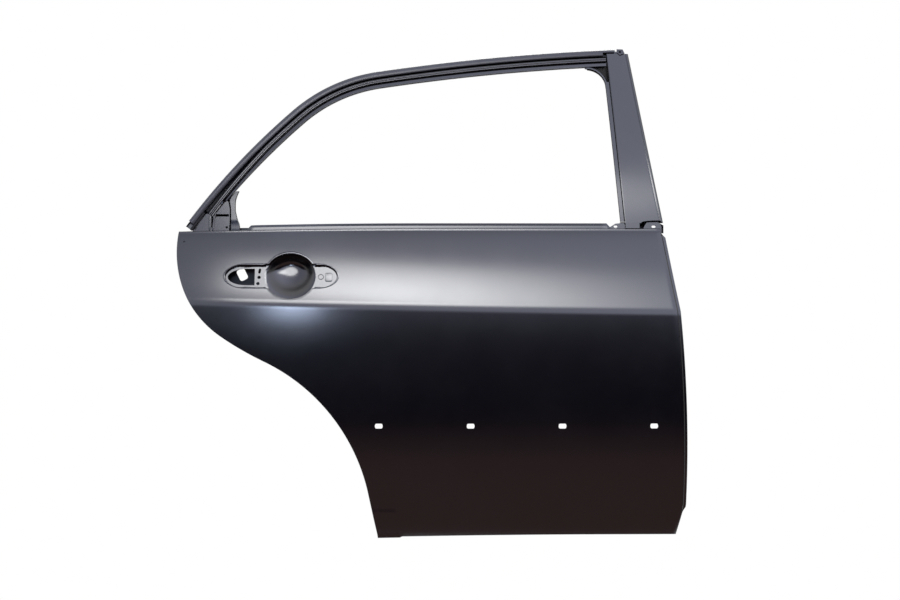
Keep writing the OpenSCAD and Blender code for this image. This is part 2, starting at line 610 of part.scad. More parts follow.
// Belt corner pieces, each a small pressed plate with an oblong hole
module oblong(w, h) {
    square([w - h, h], center = true);
    for (s = [-1, 1]) translate([s * (w - h) / 2, 0]) circle(d = h);
}
module belt_end_bracket() color(ecoat) in_frame() at_frame(912, belt_z, 7.9) difference() {
    upright(0, 1.2) polygon([[-21, -26], [-21, 5], [-16, 8], [-10, 12], [1, 13.4], [38, 12.6], [38, -26]]);
    translate([-9.5, 0, 6]) upright(-5, 10) oblong(7.6, 4.6);
}
module sash_foot_bracket() color(ecoat) in_frame() at_frame(976, belt_z, 9) difference() {
    upright(0, 1.4) polygon([[-25, -24], [-25, 3], [-19, 11], [-10, 15], [14, 16], [19, 12], [22, 6.2],
        [-4, 6.2], [-4, -24]]);
    translate([6, 0, 11]) upright(-5, 10) oblong(7.6, 4.4);
}
module shoulder_gusset() color(ecoat) in_frame() {
    upright(73, 1.2) polygon([[984, 618], [1002.5, 618], [1002.5, 634.5], [994, 639], [986, 639], [984, 634]]);
    translate([984, 73, 630.6]) cube([1.2, 18, 8.4]);
}

// Quarter bracket at the foot of the slanted side, and the glass channel beside it
quarter_x = 75;
module at_quarter(n) at_frame(quarter_x, belt_z, n) children();
module quarter_plan(points) polygon([for (p = points) [p[0] - quarter_x, (p[1] - belt_z) * 1.02]]);
module quarter_bracket() color(ecoat) in_frame() {
    rim = [for (a = [53.8, 53.4, 53, 52.6, 52.25]) let (p = rail_point(a, 18.4, 0)) [p[0], p[2]]];
    side = [for (a = [51.9, 51.2, 50.35]) let (p = rail_point(a, 34.6, 0)) [p[0], p[2]]];
    at_quarter(8) difference() {
        upright(0, 1) quarter_plan(concat([[34, 600]], rim, [[58, 658.5], [64, 656.5], [69, 654.5]], side,
            [[98.5, 684], [100.8, 676], [102, 668], [102.5, 658], [102.5, 640], [101.5, 627], [101.5, 600]]));
        upright(-5, 10) quarter_plan([[69.5, 652.8], [100.5, 652.8], [100.5, 658], [73.5, 658]]);
        upright(-5, 10) quarter_plan([[64.4, 629], [66.6, 629], [68.2, 650], [68.2, 654], [64.4, 655]]);
        translate([22, 0, 4.5]) rotate([-90, 0, 0]) cylinder(d = 5, h = 20, center = true);
    }
    at_quarter(4.6) upright(0, 3.6) {
        quarter_plan([[59.3, 604], [64, 604], [64, 655.5], [59.3, 657.5]]);
        quarter_plan([[66.2, 604], [69.6, 604], [70.2, 627], [73.6, 651.5], [68.6, 652], [66.7, 627]]);
    }
}
module quarter_channel() color(ecoat) in_frame() {
    // height, window edge, edge on the bracket side, depth, and reach of the flange behind the bracket
    rows = [[600, 124, 105.5, 6.8, 42], [620, 124, 105.5, 6.8, 42], [636, 122.5, 105.5, 6.4, 42],
        [644.3, 119.3, 105.5, 5, 42], [654.8, 116.2, 105.5, 5, 42], [665.2, 114, 105.2, 5, 40],
        [675.6, 113.6, 104, 5, 30], [686.1, 114, 102.5, 5, 14], [696.6, 116.9, 108, 5, 3],
        [707, 121.4, 118, 5, 2]];
    ribbon([for (r = rows) let (z = r[0], w = r[1], l = r[2], n = r[3], f = l - r[4], d = min(9, w - l - 2.3))
        concat([for (p = [[f, 14.4], [l, 14.4], [l, n], [w, n], [w, 9.6], [w - d, 9.6], [w - d, 27], [w, 27]])
            [p[0], frame_depth(p[0], z) + p[1], z]],
        [for (p = [[f, 15.3], [l + 0.9, 15.3], [l + 0.9, n + 0.9], [w - 0.9, n + 0.9], [w - 0.9, 8.7],
            [w - d - 0.9, 8.7], [w - d - 0.9, 27.9], [w, 27.9]])
            [p[0], frame_depth(p[0], z) + p[1], z]])]);
}

// Belt rails
belt_xs = [for (i = [0:10]) mix(146, 890, i / 10)];
module belt_rail_outer() color(ecoat) in_frame()
    ribbon([for (x = belt_xs) let (y = skin_y(x, belt_z), foot = skin_y(x, belt_z - 38) - y) concat(
        [for (p = [[5.6, 6.2], [-10, 6.2], [-13, 9.5], [-26, 9.5], [-30, 5], [-38, 1.2 + foot]])
            [x, y + p[1], belt_z + p[0]]],
        [for (p = [[5.6, 7.2], [-9.6, 7.2], [-12.6, 10.5], [-26.6, 10.5], [-31, 5.6], [-38, 2.2 + foot]])
            [x, y + p[1], belt_z + p[0]]])]);
module belt_rail_inner() color(ecoat) in_frame() {
    xs = [for (i = [0:6]) mix(142, 911, i / 6)];
    back = face_y - sheet - 0.1;
    ribbon([for (x = xs) concat(
        [for (p = [[2, 0], [0, -14], [-44, -14], [-49, 0], [-62, 0]]) [x, back + p[1], belt_z + p[0]]],
        [for (p = [[2.6, -1], [0.6, -15], [-44.6, -15], [-49.6, -1], [-62, -1]])
            [x, back + p[1], belt_z + p[0]]])]);
}

// Hinge plates: flat faces toward the front, each with two bolt holes
module hinge_plate(z) translate([hinge_x - 6, hinge_y - hinge_seat[0] / 2, z - hinge_seat[1] / 2]) difference() {
    cube([6, hinge_seat[0], hinge_seat[1]]);
    for (s = [-1, 1]) translate([-1, hinge_seat[0] / 2, hinge_seat[1] / 2 + s * hinge_pitch / 2])
        rotate([0, 90, 0]) cylinder(d = hinge_hole, h = 8);
}
module upper_hinge_plate() color([0.3, 0.3, 0.32]) in_frame() hinge_plate(upper_hinge_z);
module lower_hinge_plate() color([0.3, 0.3, 0.32]) in_frame() hinge_plate(lower_hinge_z);
module check_strap_plate() color([0.3, 0.3, 0.32]) in_frame()
    translate([hinge_x - 2.5, hinge_y - 16, check_z - 30]) difference() {
        cube([2.5, 32, 60]);
        translate([-1, 16, 30]) rotate([0, 90, 0]) linear_extrude(5) rounded_rect(20, 14, 3);
        for (s = [-1, 1]) translate([-1, 16, 30 + s * check_pitch / 2])
            rotate([0, 90, 0]) cylinder(d = 7, h = 5);
    }
module latch_plate() color([0.3, 0.3, 0.32]) in_frame() translate([latch_x, latch_y, latch_z]) difference() {
    translate([0, -22.5, -34]) cube([5, 38, 68]);
    // claw opening for the striker
    translate([-1, 2, 0]) rotate([0, 90, 0]) linear_extrude(7) rounded_rect(13, 20, 4);
    for (a = [180, 60, -60]) translate([-1, latch_circle / 2 * cos(a), latch_circle / 2 * sin(a)])
        rotate([0, 90, 0]) cylinder(d = latch_hole, h = 7);
}
latch_hole = 6.5;

// Impact beam and its end brackets
beam_front = [985, 36, 324];
beam_rear = [190, 44, 410];
beam_run = beam_rear - beam_front;
module beam_axis() translate(beam_front)
    rotate([0, 90 - asin(beam_run[2] / norm(beam_run)), 180 + atan2(-beam_run[1], -beam_run[0])]) children();
module impact_beam() color([0.2, 0.2, 0.22]) in_frame() beam_axis() difference() {
    cylinder(d = beam_d, h = norm(beam_run));
    translate([0, 0, -1]) cylinder(d = beam_d - 4, h = norm(beam_run) + 2);
}
module beam_bracket_front() color(ecoat) in_frame() {
    translate([950, beam_front[1] + beam_d / 2 + 0.2, 296]) cube([66, 2, 56]);
    translate([1015.4, beam_front[1] + beam_d / 2 + 0.2, 296]) cube([2, 16, 56]);
}
module beam_bracket_rear() color(ecoat) in_frame() upright(beam_rear[1] + beam_d / 2 + 0.2, 2)
    polygon(concat([[232, 440], [232, 384]],
        [for (z = [384:8:440]) [left(z) + 16.5 * sqrt(1 + pow(slope_of(z), 2)), z]]));

// Glass guides inside the door, each with a foot on the trim face
module guide_foot(x, y, z) {
    translate([x, y, z]) cube([9, face_y - sheet - 0.1 - y, 1.5]);
    translate([x, face_y - sheet - 1.6, z]) cube([9, 1.5, 16]);
}
module front_glass_guide() color(ecoat) in_frame() {
    ribbon([for (i = [0:6]) let (z = mix(641, 352, i / 6), x = sash_left(z), y = frame_depth(x, z)) concat(
        [for (p = [[0.5, 11], [17.6, 11], [17.6, 26], [0.5, 26]]) [x + p[0], y + p[1], z]],
        [for (p = [[0.5, 12], [16.6, 12], [16.6, 25], [0.5, 25]]) [x + p[0], y + p[1], z]])]);
    guide_foot(sash_left(352) + 4, frame_depth(940, 352) + 25.5, 352);
}
module rear_glass_guide() color(ecoat) in_frame() {
    ribbon([for (i = [0:3]) let (z = mix(562, 599, i / 3), x = 124, y = frame_depth(x, z)) concat(
        [for (p = [[0, 10.6], [-9.8, 10.6], [-9.8, 27.8], [0, 27.8]]) [x + p[0], y + p[1], z]],
        [for (p = [[0, 11.6], [-8.8, 11.6], [-8.8, 26.8], [0, 26.8]]) [x + p[0], y + p[1], z]])]);
    guide_foot(114.6, frame_depth(120, 562) + 27.2, 562);
}
// Stiffener glued to the back of the skin round the handle recess
module handle_stiffener() color(ecoat) in_frame() difference() {
    line = [[-56, 1], [-51, 1], [-48, 9.2], [-24, 9.2], [0, 9.4], [24, 9.2], [48, 9.2], [51, 1], [56, 1]];
    ribbon([for (i = [0:6]) let (x = mix(84, 352, i / 6)) concat(
        [for (p = line) [x, skin_y(x, cup_z + p[0]) + p[1], cup_z + p[0]]],
        [for (p = line) [x, skin_y(x, cup_z + p[0]) + p[1] + 1.2, cup_z + p[0]]])]);
    at_cup() upright(-5, 40) bowl_outline(-1);
    upright(0, 90) translate([139, 529]) rounded_rect(76, 36, 8);
}

outer_skin();
handle_cup();
shut_wall();
inner_face();
header_rail();
header_channel();
header_run();
header_moulding();
moulding_end_block();
quarter_bracket();
quarter_channel();
sash_plate();
sash_channel();
sash_rail();
corner_run();
header_end_bracket();
belt_end_bracket();
sash_foot_bracket();
shoulder_gusset();
belt_rail_outer();
belt_rail_inner();
upper_hinge_plate();
lower_hinge_plate();
check_strap_plate();
latch_plate();
impact_beam();
beam_bracket_front();
beam_bracket_rear();
front_glass_guide();
rear_glass_guide();
handle_stiffener();
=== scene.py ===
# %% [markdown]
# # A bare rear side door in black primer
# This lesson dresses the solids of a car's rear side door: one large skin, a window frame of
# several thin pressings, and the stepped edge and trim face behind them. The solids hold the
# sizes. Blender gives the skin its smooth curvature, the pressings their bend radii, and
# everything the satin sheen of dip-coated steel.

# %% Load the solids
import bpy
import bmesh
import math
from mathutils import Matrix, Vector


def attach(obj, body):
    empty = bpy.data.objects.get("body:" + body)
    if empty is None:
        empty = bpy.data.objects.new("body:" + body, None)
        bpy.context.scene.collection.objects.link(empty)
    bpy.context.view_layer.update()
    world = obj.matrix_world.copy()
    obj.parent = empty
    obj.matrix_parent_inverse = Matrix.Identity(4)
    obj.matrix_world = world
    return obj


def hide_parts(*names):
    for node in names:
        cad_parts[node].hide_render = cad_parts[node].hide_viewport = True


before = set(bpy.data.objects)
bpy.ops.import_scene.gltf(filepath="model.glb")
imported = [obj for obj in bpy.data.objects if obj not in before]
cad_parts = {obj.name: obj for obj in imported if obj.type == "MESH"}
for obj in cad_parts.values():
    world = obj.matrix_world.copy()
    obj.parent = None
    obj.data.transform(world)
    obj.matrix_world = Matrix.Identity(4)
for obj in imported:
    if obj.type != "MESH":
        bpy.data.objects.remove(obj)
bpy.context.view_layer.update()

print("solids:", len(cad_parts))

# %% [markdown]
# ## Working axes
# A body engineer measures a door from its lower rear corner: x forward, y inboard from the
# fullest line of the skin, z up, all in millimetres. The shared frame has its origin on the
# upper hinge face and is in metres, so one function carries a point from the first to the
# second. Every shape below is written in door millimetres.

# %% From door millimetres to the shared frame
HINGE = Vector((1021.0, 51.0, 410.0))


def place(x, y, z):
    return (Vector((x, y, z)) - HINGE) / 1000


print("door's lower rear corner lies at", [round(v, 3) for v in place(0, 0, 0)])

# %% [markdown]
# ## Camera
# The photograph shows the door square on, from about six metres, with a long lens: the far
# edge of the window frame is hardly smaller than the near skin. A perspective camera with a
# 36 mm sensor is set at the height of the picture's middle, and its focal length is the one
# at which one picture point covers 2.05 mm of the skin.

# %% Camera
PICTURE_WIDTH = 900
MM_A_POINT = 2.05
CAMERA_AT = (559.65, -6000.0, 479.7)
camera = bpy.data.objects.new("camera", bpy.data.cameras.new("camera"))
bpy.context.scene.collection.objects.link(camera)
camera.location = place(*CAMERA_AT)
camera.rotation_euler = (math.radians(90), 0, 0)
camera.data.sensor_width = 36
camera.data.lens = 36 * -CAMERA_AT[1] / (PICTURE_WIDTH * MM_A_POINT)
camera.data.clip_end = 100
bpy.context.scene.camera = camera
print("focal length %.1f mm" % camera.data.lens)

# %% [markdown]
# ## The outline of the skin
# The lower rear is cut out by the wheel arch: an arc round the wheel, a reverse curve above
# it, and a tighter arc where the edge turns upright. Arcs that share a tangent where they
# meet leave no kink, and three of them need only their centres and radii. The front edge
# bows forward below the crease and leans back above it.

# %% Outline of the skin
ARCH_R, ARCH_X = 390.8, 9.6
HAUNCH_X, HAUNCH_Z = 463.9, 956.4
REAR_R, REAR_TURN = 213.7, math.radians(55.7)
BELT_Z = 626.0
CREASE_REAR, CREASE_FRONT = 478.0, 457.0
HAUNCH_R = math.hypot(HAUNCH_X - ARCH_X, HAUNCH_Z) - ARCH_R
HAUNCH_START = ARCH_R * HAUNCH_Z / (HAUNCH_R + ARCH_R)
REAR_START = HAUNCH_Z - HAUNCH_R * math.sin(REAR_TURN)
REAR_CX = HAUNCH_X - (HAUNCH_R - REAR_R) * math.cos(REAR_TURN)
REAR_CZ = HAUNCH_Z - (HAUNCH_R - REAR_R) * math.sin(REAR_TURN)
ARCH_FOOT = 89.0


def mix(a, b, t):
    return a + (b - a) * t


def clamp01(t):
    return min(1.0, max(0.0, t))


def left(z):
    if z > REAR_START:
        return REAR_CX - math.sqrt(REAR_R ** 2 - (z - REAR_CZ) ** 2)
    if z > HAUNCH_START:
        return HAUNCH_X - math.sqrt(HAUNCH_R ** 2 - (HAUNCH_Z - z) ** 2)
    low = max(z, ARCH_FOOT)
    return ARCH_X + math.sqrt(ARCH_R ** 2 - low ** 2) - 0.215 * (min(z, ARCH_FOOT) - ARCH_FOOT)


def bow(z):
    return 1040 - (z - 170) ** 2 / 6116


def right(z):
    if z > CREASE_FRONT:
        return bow(CREASE_FRONT) - 0.19 * (z - CREASE_FRONT)
    return bow(z) - 0.22 * max(0, 44 - z)


def step_at(z):
    return 8 * (0.15 + 0.85 * clamp01((z - 44) / 10) * clamp01((616 - z) / 6))


def crease(x):
    t = x / 1000
    return mix(CREASE_REAR, CREASE_FRONT, t) - 8 * t * (1 - t)


def belt(x):
    return BELT_Z - 6 * clamp01(1 - x / 500) ** 2


def sill(x):
    return -3.6 - 5.4 * (1 - clamp01((x - 410) / 480)) ** 2


print("door is %.0f mm long at its widest" % (right(170) + step_at(170) - left(REAR_CZ)))

# %% [markdown]
# ## The form of the skin
# Seen from above, the side of the car is a very flat arc. Seen from the front it bulges
# around a fullest line and folds inboard at the shoulder crease, where a stamped skin has a
# radius of a few millimetres. Light shows every wave in such a sheet, so the depth is a
# formula and the mesh is fine, rather than a coarse mesh that is smoothed afterwards.

# %% Form of the skin
CREASE_HALF = 9.0


def plan(x):
    return (x - 560) ** 2 / 18000


def flank(z):
    if z > 250:
        return (z - 250) ** 2 / 5200
    return (250 - z) ** 2 / 2600 + (max(0, 50 - z)) ** 2 / 300


def skin_y(x, z):
    zc = crease(x)
    run = BELT_Z - zc
    up = min(max(z - zc, 0), run)
    y = plan(x) + flank(min(z, zc)) + 0.4 * up - 0.3 * up * up / (2 * run)
    bend = max(0, CREASE_HALF - abs(z - zc))
    return y + (0.4 - (zc - 250) / 2600) * bend * bend / (4 * CREASE_HALF)


def frame_depth(x, z):
    over = z - BELT_Z
    rise = 0.2 * over + over * over / 3000 if over > 0 else 0.05 * over
    return 47 + plan(x) + rise


print("skin lies %.0f mm deep at the belt" % skin_y(560, BELT_Z))

# %% [markdown]
# ## Primer on steel
# A bare body door comes out of the dip tank: the steel is zinc-coated and deep-drawn, and
# cathodic e-coat, an epoxy primer, is baked onto it in a film of about 20 micrometres. It is
# almost black, its gloss is between satin and semi-gloss, and what shows is mostly what it
# reflects. The film follows the press marks of the sheet, dries a little duller where it
# ran off slowly, and has the fine orange peel of any dipped coat. A dielectric with IOR 1.5
# and a roughness near 0.3 gives that, and noise at real sizes varies it.

# %% Colours and node helper
def linear(hex_colour):
    parts = [int(hex_colour[i:i + 2], 16) / 255 for i in (1, 3, 5)]
    return [c / 12.92 if c <= 0.04045 else ((c + 0.055) / 1.055) ** 2.4 for c in parts] + [1.0]


def add_node(tree, kind, settings=None, **inputs):
    """Adds a node. Inputs are named with underscores for spaces; a socket is linked."""
    made = tree.nodes.new(kind)
    for key, value in (settings or {}).items():
        setattr(made, key, value)
    for key, value in inputs.items():
        socket = made.inputs[int(key[1:]) if key[1:].isdigit() else key.replace("_", " ")]
        if isinstance(value, bpy.types.NodeSocket):
            tree.links.new(value, socket)
        else:
            socket.default_value = value
    return made


def per_mm(size):
    """Scale of a noise whose features are about this many millimetres across."""
    return 1000 / size


print("black primer is", [round(c, 4) for c in linear("#0d0d12")])

# %% Coating materials
def coating(name, colour, dust, gloss, cloud_mm, peel_mm, peel_depth_mm, ior=1.5):
    """A baked coat: cloudy gloss, fine peel, and a film of dust that settles in clouds."""
    made = bpy.data.materials.new(name)
    made.use_nodes = True
    tree = made.node_tree
    shader = tree.nodes["Principled BSDF"]
    where = add_node(tree, "ShaderNodeTexCoord").outputs["Object"]
    cloud = add_node(tree, "ShaderNodeTexNoise", Vector=where, Scale=per_mm(cloud_mm), Detail=5.0,
                     Roughness=0.6)
    wisp = add_node(tree, "ShaderNodeTexNoise", Vector=where, Scale=per_mm(cloud_mm / 6), Detail=4.0,
                    Roughness=0.7)
    both = add_node(tree, "ShaderNodeMath", {"operation": "MULTIPLY_ADD"}, _0=wisp.outputs["Fac"],
                    _1=0.35, _2=cloud.outputs["Fac"])
    rough = add_node(tree, "ShaderNodeMapRange", Value=both.outputs[0], From_Min=0.45, From_Max=0.9,
                     To_Min=gloss[0], To_Max=gloss[1])
    tint = add_node(tree, "ShaderNodeMapRange", Value=both.outputs[0], From_Min=0.6, From_Max=1.0)
    colours = add_node(tree, "ShaderNodeMix", {"data_type": "RGBA"}, _0=tint.outputs[0],
                       _6=linear(colour), _7=linear(dust))
    peel = add_node(tree, "ShaderNodeTexNoise", Vector=where, Scale=per_mm(peel_mm), Detail=2.0)
    bump = add_node(tree, "ShaderNodeBump", Height=peel.outputs["Fac"], Distance=peel_depth_mm / 1000,
                    Strength=0.5)
    tree.links.new(colours.outputs[2], shader.inputs["Base Color"])
    tree.links.new(rough.outputs[0], shader.inputs["Roughness"])
    tree.links.new(bump.outputs[0], shader.inputs["Normal"])
    shader.inputs["IOR"].default_value = ior
    return made


# The real peel is about 1.5 mm across, too fine to show here, so it is drawn at 5 mm.
skin_coat = coating("e_coat_on_outer_skin", "#030305", "#070709", (0.15, 0.18), 130, 5, 0.012, 1.8)
press_coat = coating("e_coat_on_pressings", "#0d0d11", "#1a1a1d", (0.32, 0.46), 60, 5, 0.03, 1.6)
frame_coat = coating("e_coat_on_frame", "#06060a", "#0c0c12", (0.18, 0.23), 70, 9, 0.012, 1.8)
trim_coat = coating("satin_anodised_moulding", "#3c3d42", "#4a4b50", (0.30, 0.38), 30, 4, 0.02)
plate_coat = coating("e_coat_on_thick_plate", "#15151a", "#26262a", (0.36, 0.50), 25, 4, 0.08)
beam_coat = coating("e_coat_on_drawn_tube", "#101015", "#1c1c20", (0.30, 0.40), 40, 4, 0.03)
seal_rubber = coating("moulded_epdm_rubber", "#070707", "#0e0e0e", (0.70, 0.82), 12, 2, 0.10)
sealer = coating("pvc_seam_sealer", "#2b2b2d", "#39393a", (0.55, 0.70), 15, 6, 0.30)
print("materials:", len(bpy.data.materials))

# %% [markdown]
# ## From sheets to pieces
# Every pressing is a sheet: a section drawn as a line, given its bend radii, offset by the
# sheet's thickness and swept through stations along the door. Straight bends drawn as sharp
# corners look like folded card. A stamped bend of two millimetres catches a thin line of
# light, which is what the eye takes for steel.

# %% Helpers for sheet pieces
def make_piece(name, points, faces, material, nodes, sharp_angle=32):
    """Makes a mesh of door-millimetre points, smooth but for edges sharper than the angle."""
    mesh = bpy.data.meshes.new(name)
    mesh.from_pydata([place(*p) for p in points], [], faces)
    made = bpy.data.objects.new(name, mesh)
    bpy.context.scene.collection.objects.link(made)
    tidy_mesh(made, sharp_angle)
    mesh.materials.append(material)
    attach(made, "root")
    if nodes:
        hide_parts(*nodes)
    print("%s: %d faces" % (name, len(mesh.polygons)))
    return made


def tidy_mesh(obj, sharp_angle):
    work = bmesh.new()
    work.from_mesh(obj.data)
    bmesh.ops.remove_doubles(work, verts=work.verts, dist=1e-6)
    bmesh.ops.dissolve_degenerate(work, edges=work.edges, dist=1e-6)
    bmesh.ops.recalc_face_normals(work, faces=work.faces)
    for face in work.faces:
        face.smooth = True
    for edge in work.edges:
        if len(edge.link_faces) == 2:
            edge.smooth = edge.calc_face_angle(0) < math.radians(sharp_angle)
    work.to_mesh(obj.data)
    work.free()


def cut(obj, cutters, sharp_angle=32):
    """Takes the cutters' solids out of a piece and removes the cutters."""
    for cutter in cutters:
        step = obj.modifiers.new("cut", "BOOLEAN")
        step.operation = "DIFFERENCE"
        step.solver = "EXACT"
        step.object = cutter
    solid = bpy.data.meshes.new_from_object(obj.evaluated_get(bpy.context.evaluated_depsgraph_get()))
    obj.modifiers.clear()
    obj.data = solid
    for cutter in cutters:
        bpy.data.objects.remove(cutter)
    tidy_mesh(obj, sharp_angle)


def prism(outline, near, far, at=lambda x, y, z: (x, y, z)):
    """Cutter: an outline in x and z, run from depth near to depth far."""
    count = len(outline)
    points = [at(x, near, z) for x, z in outline] + [at(x, far, z) for x, z in outline]
    faces = [list(range(count)), list(range(count, 2 * count))[::-1]]
    faces += [[i, i + count, (i + 1) % count + count, (i + 1) % count] for i in range(count)]
    mesh = bpy.data.meshes.new("cutter")
    mesh.from_pydata([place(*p) for p in points], [], faces)
    made = bpy.data.objects.new("cutter", mesh)
    bpy.context.scene.collection.objects.link(made)
    tidy_mesh(made, 30)
    return made


def bent(line, radius, steps=4):
    """Rounds the corners of a section line. Gives (point, number of the corner it came from)."""
    out = [(Vector(line[0]), 0)]
    for i in range(1, len(line) - 1):
        before, here, after = (Vector(line[k]) for k in (i - 1, i, i + 1))
        a = min(radius, (before - here).length * 0.45)
        b = min(radius, (after - here).length * 0.45)
        start = here + (before - here).normalized() * a
        end = here + (after - here).normalized() * b
        for k in range(steps + 1):
            t = k / steps
            out.append((start * (1 - t) ** 2 + here * 2 * t * (1 - t) + end * t * t, i))
    out.append((Vector(line[-1]), len(line) - 1))
    return out


def offset(points, thickness):
    """The other side of a sheet whose section is this line."""
    out = []
    for i, here in enumerate(points):
        first = (points[max(1, i)] - points[max(0, i - 1)]).normalized()
        second = (points[min(i + 1, len(points) - 1)] - points[min(i, len(points) - 2)]).normalized()
        a, b = Vector((-first.y, first.x)), Vector((-second.y, second.x))
        middle = (a + b).normalized()
        out.append(here + middle * thickness / max(0.3, middle.dot(a)))
    return out


def sweep(name, stations, material, nodes, sharp_angle=32):
    """A sheet through stations; each is a list of front points, then as many back points."""
    count = len(stations[0])
    half = count // 2
    ring = list(range(half)) + list(range(count - 1, half - 1, -1))
    points = [p for station in stations for p in station]
    faces = []
    for k in range(len(stations) - 1):
        for i in range(count):
            a, b = k * count + ring[i], k * count + ring[(i + 1) % count]
            faces.append([a, b, b + count, a + count])
    for base in (0, (len(stations) - 1) * count):
        faces += [[base + i, base + half + i, base + half + i + 1, base + i + 1] for i in range(half - 1)]
    return make_piece(name, points, faces, material, nodes, sharp_angle)


print("helpers ready")

# %% [markdown]
# ## The outer skin
# The skin is one sheet of 0.8 mm steel, stepped down by 5 mm in a narrow band along its
# front edge, and folded flat over the inner panel all round. It is made as a closed mesh:
# an outer face on a grid of rows that follow the sill, the crease and the belt, a fold round
# the perimeter and an inner face. Then the handle recess and four holes for the clips of the
# side moulding are cut through it.

# %% The handle recess in its own plane
RIM, LIP, LIP_HIGH = 2.0, 2.4, 0.3
CUP_X, CUP_Z = 230.0, 529.0
BOWL_WIDE, BOWL_HIGH, BOWL_DEEP, BOWL_LOWEST = 50.7, 46.7, 21.0, 16.0
RECESS_HALF, RECESS_DEEP = 23.5, 7.0
cup_lean, cup_turn = math.radians(-16.5), math.radians(-2.1)
CUP_Y = plan(CUP_X) + flank(crease(CUP_X)) + 0.4 * (CUP_Z - crease(CUP_X)) \
    - 0.15 * (CUP_Z - crease(CUP_X)) ** 2 / (BELT_Z - crease(CUP_X))


def in_cup(u, depth, w):
    """Point of the recess: u forward and w up in its plane, depth inboard."""
    y = depth * math.cos(cup_lean) - w * math.sin(cup_lean)
    z = depth * math.sin(cup_lean) + w * math.cos(cup_lean)
    return (CUP_X + u * math.cos(cup_turn) - y * math.sin(cup_turn),
            CUP_Y + u * math.sin(cup_turn) + y * math.cos(cup_turn), CUP_Z + z)


def recess_reach(angle, grow=0.0):
    """Distance from the bowl's centre to the edge of bowl or long recess, whichever is further."""
    half = RECESS_HALF + grow
    c, s = math.cos(angle), math.sin(angle)
    best = 1 / math.hypot(c / (BOWL_WIDE + 1.3 + grow), s / (BOWL_HIGH + 1.3 + grow))
    if abs(s) > 1e-6:
        flat = half / abs(s)
        if -89 <= flat * c <= 55:
            return max(best, flat)
    centre, run = (55, 42 + grow) if c > 0 else (-89, 46 + grow)
    a = (c / run) ** 2 + (s / half) ** 2
    b = -2 * c * centre / run ** 2
    d = (centre / run) ** 2 - 1
    return max(best, (-b + math.sqrt(max(0, b * b - 4 * a * d))) / (2 * a))


def recess_line(count, grow=0.0):
    turn = [2 * math.pi * i / count for i in range(count)]
    return [(recess_reach(t, grow) * math.cos(t), recess_reach(t, grow) * math.sin(t)) for t in turn]


print("recess reaches %.0f mm behind the bowl's centre" % recess_reach(math.pi))

# %% Skin mesh
def row_z(x, v):
    return mix(sill(x), crease(x), v) if v < 1 else mix(crease(x), belt(x), v - 1)


def row_left(v):
    return left(row_z(left(row_z(left(row_z(200, v)), v)), v))


CORNER_U = 0.074
skin_rows = [i / 90 for i in range(86)] + [mix(86 / 90, 1.06, i / 16) for i in range(17)]
skin_rows += [mix(1.08, 2, i / 36) for i in range(37)]
skin_cols = [CORNER_U * i / 6 for i in range(7)] + [CORNER_U + 0.003, CORNER_U + 0.006]
skin_cols += [mix(0.09, 1, i / 90) for i in range(91)]
step_cols = [(0.08, 0.06), (0.2, 0.5), (0.34, 0.92), (0.45, 1), (0.9, 1.02), (1, 1.1)]


def skin_point(c, v):
    start, end = row_left(v), right(row_z(1000, v))
    if c < len(skin_cols):
        x = mix(start, end, skin_cols[c])
        z = row_z(x, v)
        low = clamp01((56 - v * 466) / 6) * clamp01((CORNER_U + 0.006 - skin_cols[c]) / 0.006)
        return Vector((x, skin_y(x, z) - 1.6 * low, z - (2 * low if v == 0 else 0)))
    across, down = step_cols[c - len(skin_cols)]
    z = row_z(end, v)
    width = step_at(z)
    return Vector((end + across * width, skin_y(end, z) + down * 5 * clamp01(width / 4), z))


